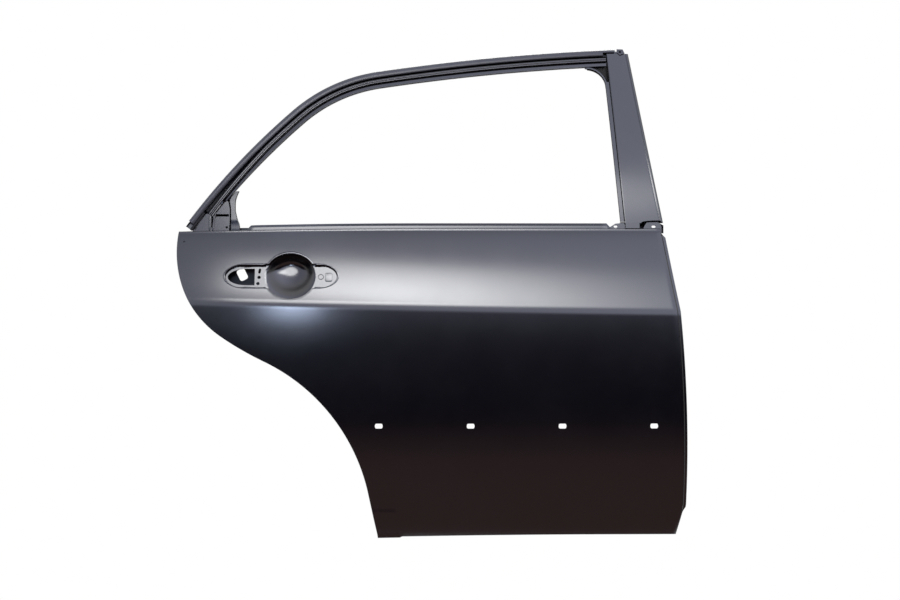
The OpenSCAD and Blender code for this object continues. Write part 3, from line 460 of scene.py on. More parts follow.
def skin_mesh():
    cols, rows = len(skin_cols) + len(step_cols), len(skin_rows)
    outer = [skin_point(c, v) for v in skin_rows for c in range(cols)]
    edge = [(c, 0) for c in range(cols)] + [(cols - 1, r) for r in range(1, rows)]
    edge += [(c, rows - 1) for c in range(cols - 2, -1, -1)] + [(0, r) for r in range(rows - 2, 0, -1)]

    def drop(p, dx, dz):
        return skin_y(p.x + dx * 9, p.z + dz * 9) - skin_y(p.x, p.z)

    def fold(c, r):
        p = outer[r * cols + c]
        dx = 1 if c == 0 else -1 if c == cols - 1 else 0
        dz = 1 if r == 0 else -1 if r == rows - 1 else 0
        if r == rows - 1:
            up = (11.8 - 2 * clamp01(1 - p.x / 500) ** 2) * clamp01((p.x - 145) / 3) * clamp01((887 - p.x) / 3)
            spots = [(0, 0.4, 0.7), (0.1, 1.2, 1.3), (0.3, 2.2, 1.6), (2, 3.2, max(1.6, up + 0.6)),
                     (2, 4, max(1.6, up + 0.6)), (1, 4, -0.8)]
            return [p + Vector((dx * a, b, e)) for a, b, e in spots]
        lip = drop(p, dx, dz)
        spots = [(-0.5, 1.5, 0), (0.2, 3, 0), (9, 3 + lip, 0), (9, 2.2 + lip, 0), (0.8, 2.2, 0)]
        return [p + Vector((dx * a, b, dz * a)) for a, b, _ in spots]

    folds = [fold(c, r) for c, r in edge]
    inner = []
    for r in range(rows):
        for c in range(cols):
            dx = 0.7 if c == 0 else -0.7 if c == cols - 1 else 0
            dz = 0.7 if r == 0 else -0.7 if r == rows - 1 else 0
            inner.append(outer[r * cols + c] + Vector((dx, 0.8, dz)))
    total, around = cols * rows, len(edge)
    turns = len(folds[0])
    points = outer + [f[k] for k in range(turns) for f in folds] + inner
    back = total + turns * around
    faces = []
    for r in range(rows - 1):
        for c in range(cols - 1):
            a = r * cols + c
            faces.append([a, a + 1, a + cols + 1, a + cols])
            faces.append([back + a, back + a + cols, back + a + cols + 1, back + a + 1])
    loops = [[r * cols + c for c, r in edge]]
    loops += [[total + k * around + i for i in range(around)] for k in range(turns)]
    loops += [[back + r * cols + c for c, r in edge]]
    for p, q in zip(loops, loops[1:]):
        for i in range(around):
            j = (i + 1) % around
            faces.append([p[i], p[j], q[j], q[i]])
    return points, faces


skin_points, skin_faces = skin_mesh()
skin_panel = make_piece("skin_panel", skin_points, skin_faces, skin_coat,
                        ["outer_skin"], 40)

# %% Cut the recess and the clip holes
CLIP_X, CLIP_PITCH, CLIP_Z = 413.5, 188.5, 221.0
cutters = [prism(recess_line(360, RIM + LIP - 0.3), -30, 30, in_cup)]
for i in range(4):
    middle = CLIP_X + i * CLIP_PITCH
    ends = [(middle + side * 5.2 + 2.8 * math.cos(t), CLIP_Z + 5 * math.sin(t))
            for side, low, high in ((1, -90, 90), (-1, 90, 270))
            for t in [math.radians(mix(low, high, k / 8)) for k in range(9)]]
    cutters.append(prism(ends, -8, 14))
cut(skin_panel, cutters, 40)
print("skin after cutting: %d faces" % len(skin_panel.data.polygons))

# %% [markdown]
# ## The handle recess
# Behind the outer handle the skin has a long shallow recess with a deep finger bowl across
# it. It is drawn as a depth over a fan of points round the bowl's centre: a rounded rim, a
# steep wall, the flat floor, and the bowl as a dish pressed on from the floor's level, which
# is deepest above its middle, where the fingers reach. The press leaves a low lip all round,
# less than half a millimetre high, and that lip draws the bright line round the recess.

# %% Depth of the recess
def recess_depth_at(u, w, inside):
    """Depth below the skin; inside is the distance in from the lip's outer edge."""
    if inside < LIP:
        return -LIP_HIGH * math.sin(math.pi / 2 * inside / LIP)
    inside -= LIP
    if inside < RIM:
        return RIM - math.sqrt(RIM ** 2 - inside ** 2) - LIP_HIGH
    return min(RECESS_DEEP, RIM - LIP_HIGH + (RECESS_DEEP - RIM + LIP_HIGH) * (inside - RIM))


def bowl_depth_at(u, w, inside):
    """How far the bowl is pressed straight inboard, on from the floor's level."""
    over = w - BOWL_LOWEST
    a = (u / BOWL_WIDE) ** 2 + (over / BOWL_HIGH) ** 2 + 1e-9
    b = BOWL_LOWEST * over / BOWL_HIGH ** 2
    c = 1 - (BOWL_LOWEST / BOWL_HIGH) ** 2
    out = min(1, a / (math.sqrt(b * b + a * c) - b))
    rim_edge = 0.35 * clamp01(1 + over / (math.hypot(u, over) + 1e-9))
    up = mix(out ** 4 * (5 - 4 * out), out ** 6, rim_edge)
    return BOWL_DEEP * (1 - up) * clamp01(inside - LIP - RIM)


def recess_points(back):
    """Fan of points; back is the thickness of the sheet behind them."""
    turns = 360
    rings = [LIP * i / 8 for i in range(8)] + [LIP + RIM * math.sin(math.radians(10 * i)) for i in range(10)]
    rings += [LIP + RIM + e for e in (0.35, 0.7, 1.0, 1.2, 1.6, 2.4)]
    inward = [i / 46 for i in range(1, 46)]
    out = []
    for k in range(turns):
        t = 2 * math.pi * k / turns
        reach = recess_reach(t, RIM + LIP - 0.2)
        for j in range(len(rings) + len(inward)):
            if j < len(rings):
                r = reach - rings[j]
            else:
                r = (reach - rings[-1]) * (1 - inward[j - len(rings)])
            u, w = r * math.cos(t), r * math.sin(t)
            inside = reach - r
            if abs(u) > BOWL_WIDE + 2:
                inside = min(inside, RECESS_HALF + RIM + LIP - 0.2 - abs(w))
            flush = in_cup(u, 0, w)
            depth = recess_depth_at(u, w, inside)
            x, y, z = in_cup(u, depth + back, w)
            y += bowl_depth_at(u, w, inside)
            follow = skin_y(flush[0], flush[2]) - flush[1]
            out.append((x, y + follow * (1 - clamp01(depth / 9)) + 0.05, z))
    return out, turns, len(rings) + len(inward)


def recess_piece():
    front, turns, deep = recess_points(0)
    rear, _, _ = recess_points(1)
    points = front + rear
    shift = len(front)
    faces = []
    for k in range(turns):
        here, there = k * deep, (k + 1) % turns * deep
        for j in range(deep - 1):
            faces.append([here + j, there + j, there + j + 1, here + j + 1])
            faces.append([shift + here + j, shift + here + j + 1, shift + there + j + 1, shift + there + j])
        faces.append([here, shift + here, shift + there, there])
    inner = [k * deep + deep - 1 for k in range(turns)]
    faces += [inner, [shift + i for i in inner][::-1]]
    return make_piece("handle_recess", points, faces, skin_coat, ["handle_cup"], 50)


def ring_outline(x, z, wide, high, count=24, tilt=0.0, roundness=0.98):
    """A rounded box or circle as an outline."""
    out = []
    corner = min(wide, high) / 2 * roundness
    for k in range(count):
        t = 2 * math.pi * k / count
        u = math.copysign(wide / 2 - corner, math.cos(t)) + corner * math.cos(t)
        w = math.copysign(high / 2 - corner, math.sin(t)) + corner * math.sin(t)
        out.append((x + u * math.cos(tilt) - w * math.sin(tilt), z + u * math.sin(tilt) + w * math.cos(tilt)))
    return out


handle_recess = recess_piece()
lock_hole = [(-74, -18), (-74, 18), (-92, 18)]
lock_hole += [(-89 - 41 * math.sin(t), 18 * math.cos(t)) for t in [math.radians(6 * k) for k in range(1, 30)]]
lock_hole += [(-92, -18)]
holes = [lock_hole, ring_outline(-65, -0.5, 7, 7), ring_outline(-67, -14, 7, 7),
         ring_outline(-64, 13, 5, 11, tilt=math.radians(-12))]
cut(handle_recess, [prism(hole, 3, 20, in_cup) for hole in holes], 50)
print("recess after cutting: %d faces" % len(handle_recess.data.polygons))

# %% Raised ring and pad on the recess's floor
def raised(name, outline, height, soft):
    """A low boss on the floor of the recess, with a sloping side."""
    middle = [sum(p[k] for p in outline) / len(outline) for k in (0, 1)]
    rings = [(1, 0.2), (1, -height * 0.4), (1 - soft * 0.5, -height * 0.9), (1 - soft, -height)]
    points = [in_cup(mix(middle[0], u, share), RECESS_DEEP + down, mix(middle[1], w, share))
              for share, down in rings for u, w in outline]
    count = len(outline)
    faces = [[k * count + i, k * count + (i + 1) % count, (k + 1) * count + (i + 1) % count, (k + 1) * count + i]
             for k in range(len(rings) - 1) for i in range(count)]
    faces += [list(range(count))[::-1], list(range(3 * count, 4 * count))]
    return make_piece(name, points, faces, skin_coat, [])


raised("recess_pad", ring_outline(79, -0.5, 15, 19, 48, roundness=0.5), 0.6, 0.1)
ring_points, ring_faces = [], []
for i in range(40):
    t = math.radians(9 * i)
    for k in range(6):
        a = math.radians(60 * k)
        out = 5.3 + 0.7 * math.cos(a)
        ring_points.append(in_cup(63 + out * math.cos(t), RECESS_DEEP - 0.6 * math.sin(a), 0.3 + out * math.sin(t)))
        ring_faces.append([i * 6 + k, i * 6 + (k + 1) % 6, (i + 1) % 40 * 6 + (k + 1) % 6, (i + 1) % 40 * 6 + k])
make_piece("recess_ring", ring_points, ring_faces, skin_coat, [], 70)

# %% [markdown]
# ## The stepped edge of the inner panel
# Behind the hem the inner panel rises in a wall, steps over the land that the body's seal
# presses on, and rises again to the trim face. The same section runs round the whole
# outline; beside the latch and the belt it becomes one deep wall. Sections at close stations
# and rounded bends make the drawn corners of the real pressing.

# %% Stepped edge
REAR_TOP, FRONT_TOP, NOMINAL_Y, FRONT_WALL = 618.0, 624.0, 15.0, 1032.6
FACE_Y, LAND_Y = 104.0, 72.0
STEPPED = [(1.4, 2), (10.5, 2), (12, 4.5), (14.5, LAND_Y - 3), (16.5, LAND_Y), (25, LAND_Y),
           (26.5, LAND_Y + 2), (29, FACE_Y - 3), (31, FACE_Y), (35, FACE_Y)]
DEEP = [(1.4, 2), (10.5, 2), (12, 4.5), (12.6, 80), (12.7, 86), (12.8, 91), (13, 95), (13.5, 99),
        (17, FACE_Y), (35, FACE_Y)]
RUNS = (88, 14, 30, 14, 60)


def slope_of(z):
    return (left(z + 1) - left(z - 1)) / 2


def hem_right(z):
    return right(z) + step_at(z)


def inset_point(i, d):
    """Point of station i, set d inside the outline, in x and z."""
    r = 8 + 0.5 * d
    zc = d + r - 6
    rear = Vector((left(zc) + d * math.hypot(1, slope_of(zc)) + r, zc))
    front = Vector((hem_right(zc) - d - r, zc + 3))
    first, corner, bottom, corner2, last = RUNS
    if i < first:
        z = mix(REAR_TOP, zc, i / first)
        return left(min(z, 622)) + d * math.hypot(1, slope_of(min(z, 620))), z
    i -= first
    if i < corner:
        a = math.radians(180 + 90 * i / corner)
        return rear.x + r * math.cos(a), rear.y + r * math.sin(a)
    i -= corner
    if i < bottom:
        t = i / bottom
        return mix(rear.x, front.x, t), mix(rear.y, front.y, t) - r
    i -= bottom
    if i < corner2:
        a = math.radians(270 + 90 * i / corner2)
        return front.x + r * math.cos(a), front.y + r * math.sin(a)
    z = mix(front.y, FRONT_TOP, (i - corner2) / last)
    return hem_right(z) - d, z


def edge_place(i, stepped, deep, j):
    z = inset_point(i, 14)[1]
    into = clamp01((z - 480) / 34) if i <= RUNS[0] else 0
    if i > sum(RUNS[:4]):
        into = clamp01((z - 548) / 34)
    inset, depth = mix(stepped[0], deep[0], into), mix(stepped[1], deep[1], into)
    x, z = inset_point(i, inset)
    zs = min(z, 620)
    if j > 1:
        x = min(x, FRONT_WALL - inset)
    down = 5 * clamp01(step_at(zs) / 4) if i > sum(RUNS[:3]) else 0
    return (x, depth - NOMINAL_Y + skin_y(x, zs) + down if j < 3 else depth, z)


def nominal(line):
    return [(a, b + (NOMINAL_Y if j < 3 else 0)) for j, (a, b) in enumerate(line)]


stepped, deep = bent(nominal(STEPPED), 2.4, 3), bent(nominal(DEEP), 2.4, 3)
kinds = [j for _, j in stepped]
stepped_front, deep_front = [p for p, _ in stepped], [p for p, _ in deep]
stepped_back, deep_back = offset(stepped_front, -0.8), offset(deep_front, -0.8)
wall_stations = []
for i in range(sum(RUNS) + 1):
    station = [edge_place(i, stepped_front[k], deep_front[k], kinds[k]) for k in range(len(kinds))]
    station += [edge_place(i, stepped_back[k], deep_back[k], kinds[k]) for k in range(len(kinds))]
    wall_stations.append(station)
edge_pressing = sweep("stepped_edge", wall_stations, press_coat, ["shut_wall"])

# %% Seats of the hinge, door check and latch plates
def box_cutter(low, high):
    return prism([(low[0], low[2]), (high[0], low[2]), (high[0], high[2]), (low[0], high[2])],
                 low[1], high[1])


seats = []
for z, half_y, half_z in ((410, 19.2, 38.2), (130, 19.2, 38.2), (262, 16.2, 30.2)):
    seats.append(box_cutter((1013, 51 - half_y, z - half_z), (1023, 51 + half_y, z + half_z)))
seats.append(box_cutter((1, 60.3, 568 - 34.2), (17, 98.7, 568 + 34.2)))
cut(edge_pressing, seats)
print("stepped edge after cutting: %d faces" % len(edge_pressing.data.polygons))

# %% [markdown]
# ## The window frame
# The frame follows three arcs: the roof, the tight corner above it and the slanted rear
# side. A point of it is named by the lean of the path there, by how far in from the roof
# edge it lies, and by its depth behind the frame's face. Each sheet of the frame is a
# section in the last two, swept over the first.

# %% Path of the frame
ROOF_R, BROW_R, SLANT_R = 4602.0, 342.4, 1548.0
LEAN_BROW, LEAN_SLANT, LEAN_FOOT = 8.66, 41.71, 53.9


def aim(lean):
    return Vector((-math.sin(math.radians(lean)), math.cos(math.radians(lean))))


ROOF_C = Vector((1100, 1012.4 - ROOF_R))
BROW_C = ROOF_C + (ROOF_R - BROW_R) * aim(LEAN_BROW)
SLANT_C = BROW_C + (BROW_R - SLANT_R) * aim(LEAN_SLANT)


def rail_point(lean, e, n):
    centre, radius = (ROOF_C, ROOF_R) if lean < LEAN_BROW else \
        (BROW_C, BROW_R) if lean < LEAN_SLANT else (SLANT_C, SLANT_R)
    p = centre + (radius - e) * aim(lean)
    return (p.x, frame_depth(p.x, p.y) + n, p.y)


def leans(start, end):
    marks = [(start, LEAN_BROW, 34), (LEAN_BROW, LEAN_SLANT, 44), (LEAN_SLANT, end, 34)]
    return [mix(a, b, i / n) for a, b, n in marks for i in range(n)] + [end]


def rail(name, line, thickness, lean_list, material, nodes, bend=0.9, move=lambda lean, e: e):
    front = [p for p, _ in bent(line, bend)]
    back = offset(front, thickness)
    stations = [[rail_point(a, move(a, p.x), p.y) for p in front + back] for a in lean_list]
    return sweep(name, stations, material, nodes)


print("frame's upper corner lies at", [round(v) for v in rail_point(25, 0, 0)])

# %% Rails of the frame
RIB_FOOT = 50.4


def rib_shift(lean, e):
    """Toward the foot the two ribs draw apart and the inner band ends before them."""
    drift = 6 * clamp01((lean - 45) / 7) * clamp01((e - 12.8) / 4) * clamp01((36 - e) / 6)
    return (27 + 0.04 * (e - 27) if lean > RIB_FOOT and e > 27 else e) + drift


moulding = rail("roof_moulding", [(2, 7), (1, 3), (2.5, 0.8), (6, 0), (11, 1.7), (12, 3.4)], -1,
                leans(2.72, 53.4), trim_coat, ["header_moulding"], 1.4)
rail("moulding_tail", [(2, 7), (1, 3), (2.5, 0.8), (5.6, 0.4)], -1, [2.4, 2.5, 2.6, 2.72],
     trim_coat, ["header_moulding"])
channel_leans = leans(2.65, RIB_FOOT) + [RIB_FOOT + 0.3, 51, 51.5, 52]
rail("ribbed_channel", [(12.4, 5), (12.8, 11), (16.2, 17), (17.6, 2), (18.4, 1), (20.4, 1.2),
                        (21.2, 3), (22, 1.2), (24, 1.6), (24.8, 9), (27.6, 14), (28.4, 5.4), (34.8, 5)], -0.9, channel_leans,
     frame_coat, ["header_channel"], 0.8, rib_shift)
rail("glass_run_channel", [(35, 7.2), (21.5, 10), (21.5, 27), (35, 27)], -0.8,
     leans(2.65, 50.2), frame_coat, ["header_run"], 1.2)
rail("inner_rail", [(2.3, 5.5), (3.2, 14.1), (13, 14.1), (15, 39), (35.2, 39), (35.2, 28.2),
                    (22, 28.2)], -1, leans(2.53, LEAN_FOOT), frame_coat, ["header_rail"], 1.8)

# %% [markdown]
# ## The sash
# The upright at the front of the window is wide and covers the body's centre pillar. Its
# outer face is one flat sheet, turned back along both edges; a channel for the glass runs
# down its window side and an inner rail stiffens it from behind.

# %% Sash
SASH_FOOT, SASH_TOP = 639.0, 999.0


def sash_left(z):
    return 914.6 - 0.0906 * (z - BELT_Z)


def sash_right(z):
    return 1003.9 - 0.195 * (z - BELT_Z) + 0.000031 * (z - BELT_Z) ** 2


def sash_point(z, side, e, n):
    low = z < SASH_FOOT
    x = sash_right(z) + e - (14 if low else 0) if side else sash_left(z) + e
    return (x, frame_depth(x, z) + (max(n, 9.5) if low else n), z)


def sash(name, front, back, heights, nodes):
    stations = [[sash_point(z, *p) for p in front + back] for z in heights]
    return sweep(name, stations, frame_coat, nodes)


def heights(low, high, count=40):
    return [mix(high, low, i / count) for i in range(count + 1)]


# The face is flat between its bends, with a low bead along its right edge.
sash_plate = sash("sash_face", [(0, 7.9, 10), (0, 7.9, 4), (0, 8.2, 2.3), (0, 9, 1.3), (0, 10.3, 1),
                                (0, 11.1, 1), (1, -9.4, 1), (1, -8.6, 1), (1, -6.8, 1.3), (1, -5.4, 0.7),
                                (1, -4.2, 0.4), (1, -2.8, 0.5), (1, -1.2, 1.7), (1, -0.3, 3.6), (1, 0, 6),
                                (1, 0, 16)],
                  [(0, 8.9, 10), (0, 8.9, 4.2), (0, 9.1, 3), (0, 9.6, 2.2), (0, 10.5, 2),
                   (0, 11.3, 2), (1, -9.6, 2), (1, -8.7, 2), (1, -6.8, 2.3), (1, -5.3, 1.7), (1, -4.2, 1.4),
                   (1, -3.2, 1.5), (1, -2, 2.3), (1, -1.2, 4), (1, -1, 6.2), (1, -1, 16)],
                  heights(SASH_FOOT, SASH_TOP), ["sash_plate"])
arch = [(952, 620), (953, 634), (956.4, 640.8), (960, 642.5), (968, 643.6), (980, 644.4), (992, 644.5),
        (996.5, 643.2), (999, 640), (1010, 620)]
cut(sash_plate, [prism(arch, 30, 90)])
sash("sash_glass_run", [(0, 0, 4), (0, 7, 4), (0, 7.8, 4.8), (0, 7.8, 11), (0, 18, 11), (0, 18, 26),
                        (0, 0, 26)],
     [(0, 0, 5), (0, 6.4, 5), (0, 6.8, 5.4), (0, 6.8, 12), (0, 17, 12), (0, 17, 25), (0, 0, 25)],
     heights(642, 938), ["sash_channel"])
inner_sash = sash("sash_inner_rail", [(0, 19, 2.1), (0, 19, 45.9), (1, -13, 45.9), (1, -12, 16.2), (1, -1.2, 16.2)],
     [(0, 20, 2.1), (0, 20, 44.9), (1, -14, 44.9), (1, -13, 15.2), (1, -1.2, 15.2)],
     heights(SASH_FOOT + 0.2, SASH_TOP) + [SASH_FOOT - 0.2, 620, 606, 590, 576], ["sash_rail"])
cut(inner_sash, [prism([(974, 624), (974, 639), (994, 639), (994, 624)], 40, 150)])

# %% [markdown]
# ## Two small channels with tight curves
# The glass channel beside the quarter bracket has a hollow edge toward the window, and the
# run of the window's front upper corner is a tight arc. Both show their curve against the
# white, so their stations are laid close, and the few measured widths of the first are
# joined by a smooth curve.

# %% Quarter channel and corner run
QUARTER_ROWS = [(600, 124, 105.5, 6.8, 54), (620, 124, 105.5, 6.8, 54), (636, 122.5, 105.5, 6.4, 54),
                (644.3, 119.3, 105.5, 5, 52), (654.8, 116.2, 105.5, 5, 46), (665.2, 114, 105.2, 5, 40),
                (675.6, 113.6, 104, 5, 30), (686.1, 114, 102.5, 5, 14), (696.6, 116.9, 108, 5, 3),
                (707, 121.4, 118, 5, 2)]


def curve_through(rows, i, t):
    """Catmull-Rom curve through rows of numbers, between rows i and i + 1."""
    a, b, c, d = (rows[min(max(k, 0), len(rows) - 1)] for k in (i - 1, i, i + 1, i + 2))
    return [0.5 * (2 * q + (r - p) * t + (2 * p - 5 * q + 4 * r - s) * t * t + (3 * q - p - 3 * r + s) * t ** 3)
            for p, q, r, s in zip(a, b, c, d)]


def quarter_station(row):
    z, w, l, n, reach = row
    f, d = l - reach, min(9, w - l - 2.3)
    bed = 14.4 + 0.5 * min(max(690 - z, 0), 50)
    front = [(f, bed), (l, bed), (l, n + 0.5), (l + 0.5, n), (w - 0.6, n), (w, n + 0.6), (w, 9.6),
             (w - d, 9.6), (w - d, 27), (w, 27)]
    back = [(f, bed + 0.9), (l + 0.9, bed + 0.9), (l + 0.9, n + 1.2), (l + 1.2, n + 0.9), (w - 1.2, n + 0.9),
            (w - 0.9, n + 1.2), (w - 0.9, 8.7), (w - d - 0.9, 8.7), (w - d - 0.9, 27.9), (w, 27.9)]
    return [(x, frame_depth(x, z) + y, z) for x, y in front + back]


quarter_stations = [quarter_station(curve_through(QUARTER_ROWS, i, k / 6))
                    for i in range(len(QUARTER_ROWS) - 1) for k in range(6)]
sweep("quarter_glass_channel", quarter_stations, frame_coat, ["quarter_channel"])

CORNER_C, CORNER_R = (846.5, 926.0), 41.0


def corner_station(lean):
    c, s = math.cos(math.radians(lean)), math.sin(math.radians(lean))
    section = [(0, 6), (2.9, 6), (3.5, 7), (3.5, 27), (0, 27), (0, 7), (2.3, 7), (2.6, 7.8), (2.6, 26), (0, 26)]
    spots = [(CORNER_C[0] + (CORNER_R + e) * c, n, CORNER_C[1] + (CORNER_R + e) * s) for e, n in section]
    return [(x, frame_depth(x, z) + n, z) for x, n, z in spots]


sweep("corner_glass_run", [corner_station(93 - 93 * i / 36) for i in range(37)], frame_coat,
      ["corner_run"])


def at_frame(x, z, n):
    """Puts a drawing made in x and z flat against the frame's face at x, z, n behind it."""
    lean, turn = math.atan(0.2 + (z - BELT_Z) / 1500), math.atan((x - 560) / 9000)

    def put(u, depth, w):
        y = depth * math.cos(lean) + w * math.sin(lean)
        return (x + u * math.cos(turn) - y * math.sin(turn),
                frame_depth(x, z) + n + u * math.sin(turn) + y * math.cos(turn),
                z - depth * math.sin(lean) + w * math.cos(lean))
    return put


def plate(name, outline, thick, put, material, nodes=()):
    """A flat plate with this outline, drawn in x and z."""
    count = len(outline)
    points = [put(x, 0, z) for x, z in outline] + [put(x, thick, z) for x, z in outline]
    faces = [list(range(count)), list(range(count, 2 * count))[::-1]]
    faces += [[i, i + count, (i + 1) % count + count, (i + 1) % count] for i in range(count)]
    return make_piece(name, points, faces, material, list(nodes))


web = [(2, 46.6), (8, 50.4), (44, 54.4), (53, 56), (56, 40), (57, 1)]
web += [(42.5 * math.cos(math.radians(a)), 42.5 * math.sin(math.radians(a))) for a in range(1, 88, 4)]
at_corner = at_frame(*CORNER_C, 26.2)
plate("corner_web", web, 1.6, lambda u, depth, w: at_corner(u, depth + 0.36 * (54 - w), w + 0.17 * (54 - w)),
      frame_coat, ["corner_run"])

# %% Closing plates at the sash's two ends
at_header_end = at_frame(918, 1003, -1.6)
plate("header_end_cover", [(-28, 1), (-28, 5.4), (-20, 6), (6, 7), (6, 1.2)], 1.2,
      lambda u, depth, w: at_header_end(u, depth + 10, w), frame_coat)
plate("sash_tab", [(-15, -6), (14, -6), (14, 7), (-15, 7)], 1, at_frame(938, 634, 1.2), frame_coat)
at_foot = at_frame(976, 626, 9)
foot_plate = plate("sash_foot_plate", [(-15, -24), (-15, 4), (-9.5, 13.5), (-6, 15.4), (14, 16), (19, 12),
                                       (22, 6.2), (22, -8), (-4, -8), (-4, -24)], 1.4, at_foot, frame_coat,
                   ["sash_foot_bracket"])
cut(foot_plate, [prism(ring_outline(5.6, 5.8, 8.4, 5), -4, 6, at_foot)])
plate("shoulder_plate", [(991, 618), (1002.5, 618), (1002.5, 634.5), (994, 639), (991, 637)], 1.2,
      lambda x, depth, z: (x, 73 + depth, z), frame_coat, ["shoulder_gusset"])

# %% [markdown]
# ## Beads of the quarter bracket
# The small bracket at the rear foot of the frame is stiffened by a rolled rim and two
# beads, which carry the frame's two ribs on downward. Rolled edges are tubes: a ring of
# points carried along a path.

# %% Rolled rim and beads
def tube(name, path, radius, material, nodes=(), flat=1.0, sides=10):
    """A rolled bead through a path of (x, n, z), n behind the frame's face."""
    spots = [Vector((x, frame_depth(x, z) + n, z)) for x, n, z in path]
    points = []
    for i, spot in enumerate(spots):
        along = (spots[min(i + 1, len(spots) - 1)] - spots[max(i - 1, 0)]).normalized()
        side = along.cross(Vector((0, 1, 0))).normalized()
        out = side.cross(along)
        for k in range(sides):
            t = 2 * math.pi * k / sides
            points.append(tuple(spot + side * radius * math.cos(t) + out * radius * flat * math.sin(t)))
    faces = [[k * sides + i, k * sides + (i + 1) % sides, (k + 1) * sides + (i + 1) % sides, (k + 1) * sides + i]
             for k in range(len(spots) - 1) for i in range(sides)]
    faces += [list(range(sides)), [len(points) - 1 - i for i in range(sides)]]
    return make_piece(name, points, faces, material, list(nodes), 60)


def smooth_path(path, steps=6):
    return [tuple(curve_through(path, i, k / steps)) for i in range(len(path) - 1) for k in range(steps)] + [path[-1]]


rim_path = [(46.2, 7.6, 651.6), (43.4, 7.6, 647.6), (40, 7.6, 643.2), (36.8, 7.6, 638), (34, 7.6, 632.6), (31.6, 7.6, 626)]
tube("bracket_rim", smooth_path(rim_path), 1.3, frame_coat)
tube("bracket_bead_rear", smooth_path([(62.6, 4.2, 661), (61.8, 4.3, 655), (61.7, 4.6, 640), (61.7, 5.2, 612)]),
     2.0, frame_coat, flat=0.7)
tube("bracket_bead_front", smooth_path([(73.4, 4.2, 660), (71.4, 4.4, 651), (69.4, 4.6, 640), (68.2, 4.9, 627),
                                        (67.9, 5.4, 612)]), 1.7, frame_coat, flat=0.7)

# %% [markdown]
# ## Welds, nuts, sealer and mastic
# The pressings are joined by spot welds, each a round print of the electrode about 5 mm
# across. Hexagon weld nuts sit behind the hinge and door check plates, a bead of PVC sealer
# closes the edge of the hem flange, and soft pads of mastic hold the outer skin off the beam
# so that it doesn't drum.

# %% Spot welds and weld nuts
def stack(rings, count, points, faces):
    """Adds a closed stack of rings, each a list of count points, to a mesh."""
    first = len(points)
    points += [p for ring in rings for p in ring]
    for k in range(len(rings) - 1):
        for i in range(count):
            a, b = first + k * count + i, first + k * count + (i + 1) % count
            faces.append([a, b, b + count, a + count])
    faces += [list(range(first, first + count))[::-1], list(range(len(points) - count, len(points)))]


def circle(radius, count, start=0.0):
    turn = [start + 2 * math.pi * i / count for i in range(count)]
    return [(radius * math.cos(t), radius * math.sin(t)) for t in turn]


def spot_welds(name, places, material):
    """Low round prints; each place is a function from (u, depth, w) to a point."""
    points, faces = [], []
    for put in places:
        stack([[put(u, depth, w) for u, w in circle(r, 16)] for r, depth in
               ((2.9, -0.1), (2.7, 0.22), (2.1, 0.3), (1.6, 0.12))], 16, points, faces)
    make_piece(name, points, faces, material, [])


def on_face(x, z):
    return lambda u, depth, w: (x + u, FACE_Y + depth, z + w)


def on_rail(lean):
    x, _, z = rail_point(lean, 25, 0)
    return at_frame(x, z, 40)


spot_welds("welds_of_belt_rail", [on_face(156 + 46 * i, 570.5) for i in range(17)], press_coat)
spot_welds("welds_of_frame", [on_rail(4 + 2.6 * i) for i in range(18)], frame_coat)
nut_points, nut_faces = [], []
for x, z, gap, size in ((1015, 410, 22, 7.5), (1015, 130, 22, 7.5), (1018.5, 262, 20, 5.8)):
    for side in (-1, 1):
        stack([[(x - deep, 51 + u, z + side * gap + w) for u, w in circle(size * part, 6)]
               for deep, part in ((0.1, 1), (6, 1), (6.8, 0.9))], 6, nut_points, nut_faces)
make_piece("weld_nuts", nut_points, nut_faces, plate_coat, [])

# %% Sealer bead and mastic pads
bead = []
for i in range(sum(RUNS) + 1):
    x, z = inset_point(i, 9.4)
    bead.append((x, skin_y(x, min(z, 620)) + 4 - frame_depth(x, z), z))
tube("hem_sealer", bead, 1.2, sealer, flat=0.8, sides=8)
pad_points, pad_faces = [], []
for x in (330, 470, 610, 750, 890):
    along = (985 - x) / 795
    near, z = skin_y(x, 324 + 86 * along) + 0.9, 324 + 86 * along
    far = 36 + 8 * along - 14.5
    stack([[(x + 1.5 * u * part, mix(near, far, share), z + w * part) for u, w in circle(11, 24)]
           for share, part in ((0, 0.85), (0.15, 1), (0.5, 0.92), (0.85, 0.8), (1, 0.6))], 24, pad_points,
          pad_faces)
make_piece("mastic_pads", pad_points, pad_faces, sealer, [], 60)

# %% [markdown]
# ## The solids that keep their own shape
# Flat plates, brackets and the beam tube are already true in the solids, so they stay and
# only get their material. Thick plate and drawn tube hold the primer differently
# from thin sheet, so they have coats of their own.

# %% Materials of the kept solids
FINISH = {
    press_coat: ["inner_face", "belt_rail_outer", "belt_rail_inner", "front_glass_guide",
                 "rear_glass_guide", "handle_stiffener"],
    frame_coat: ["belt_end_bracket", "quarter_bracket"],
    trim_coat: ["header_end_bracket"],
    plate_coat: ["upper_hinge_plate", "lower_hinge_plate", "check_strap_plate", "latch_plate",
                 "beam_bracket_front", "beam_bracket_rear"],
    beam_coat: ["impact_beam"],
    seal_rubber: ["moulding_end_block"],
}
for material, names in FINISH.items():
    for name in names:
        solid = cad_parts[name].data
        solid.materials.clear()
        solid.materials.append(material)
print("kept solids:", sum(len(names) for names in FINISH.values()))

# %% [markdown]
# ## Light
# The door was photographed in a studio under a long strip light about a metre in front of it,
# above the camera and brightest to its left, with a small bluer light low on the left. A
# black glossy thing shows its lights rather than its colour: the shoulder, which leans back,
# mirrors the strip, the skin above it mirrors the pale room, and the flank below the crease
# mirrors the dark under the camera. So each lamp stands where its surface looks.

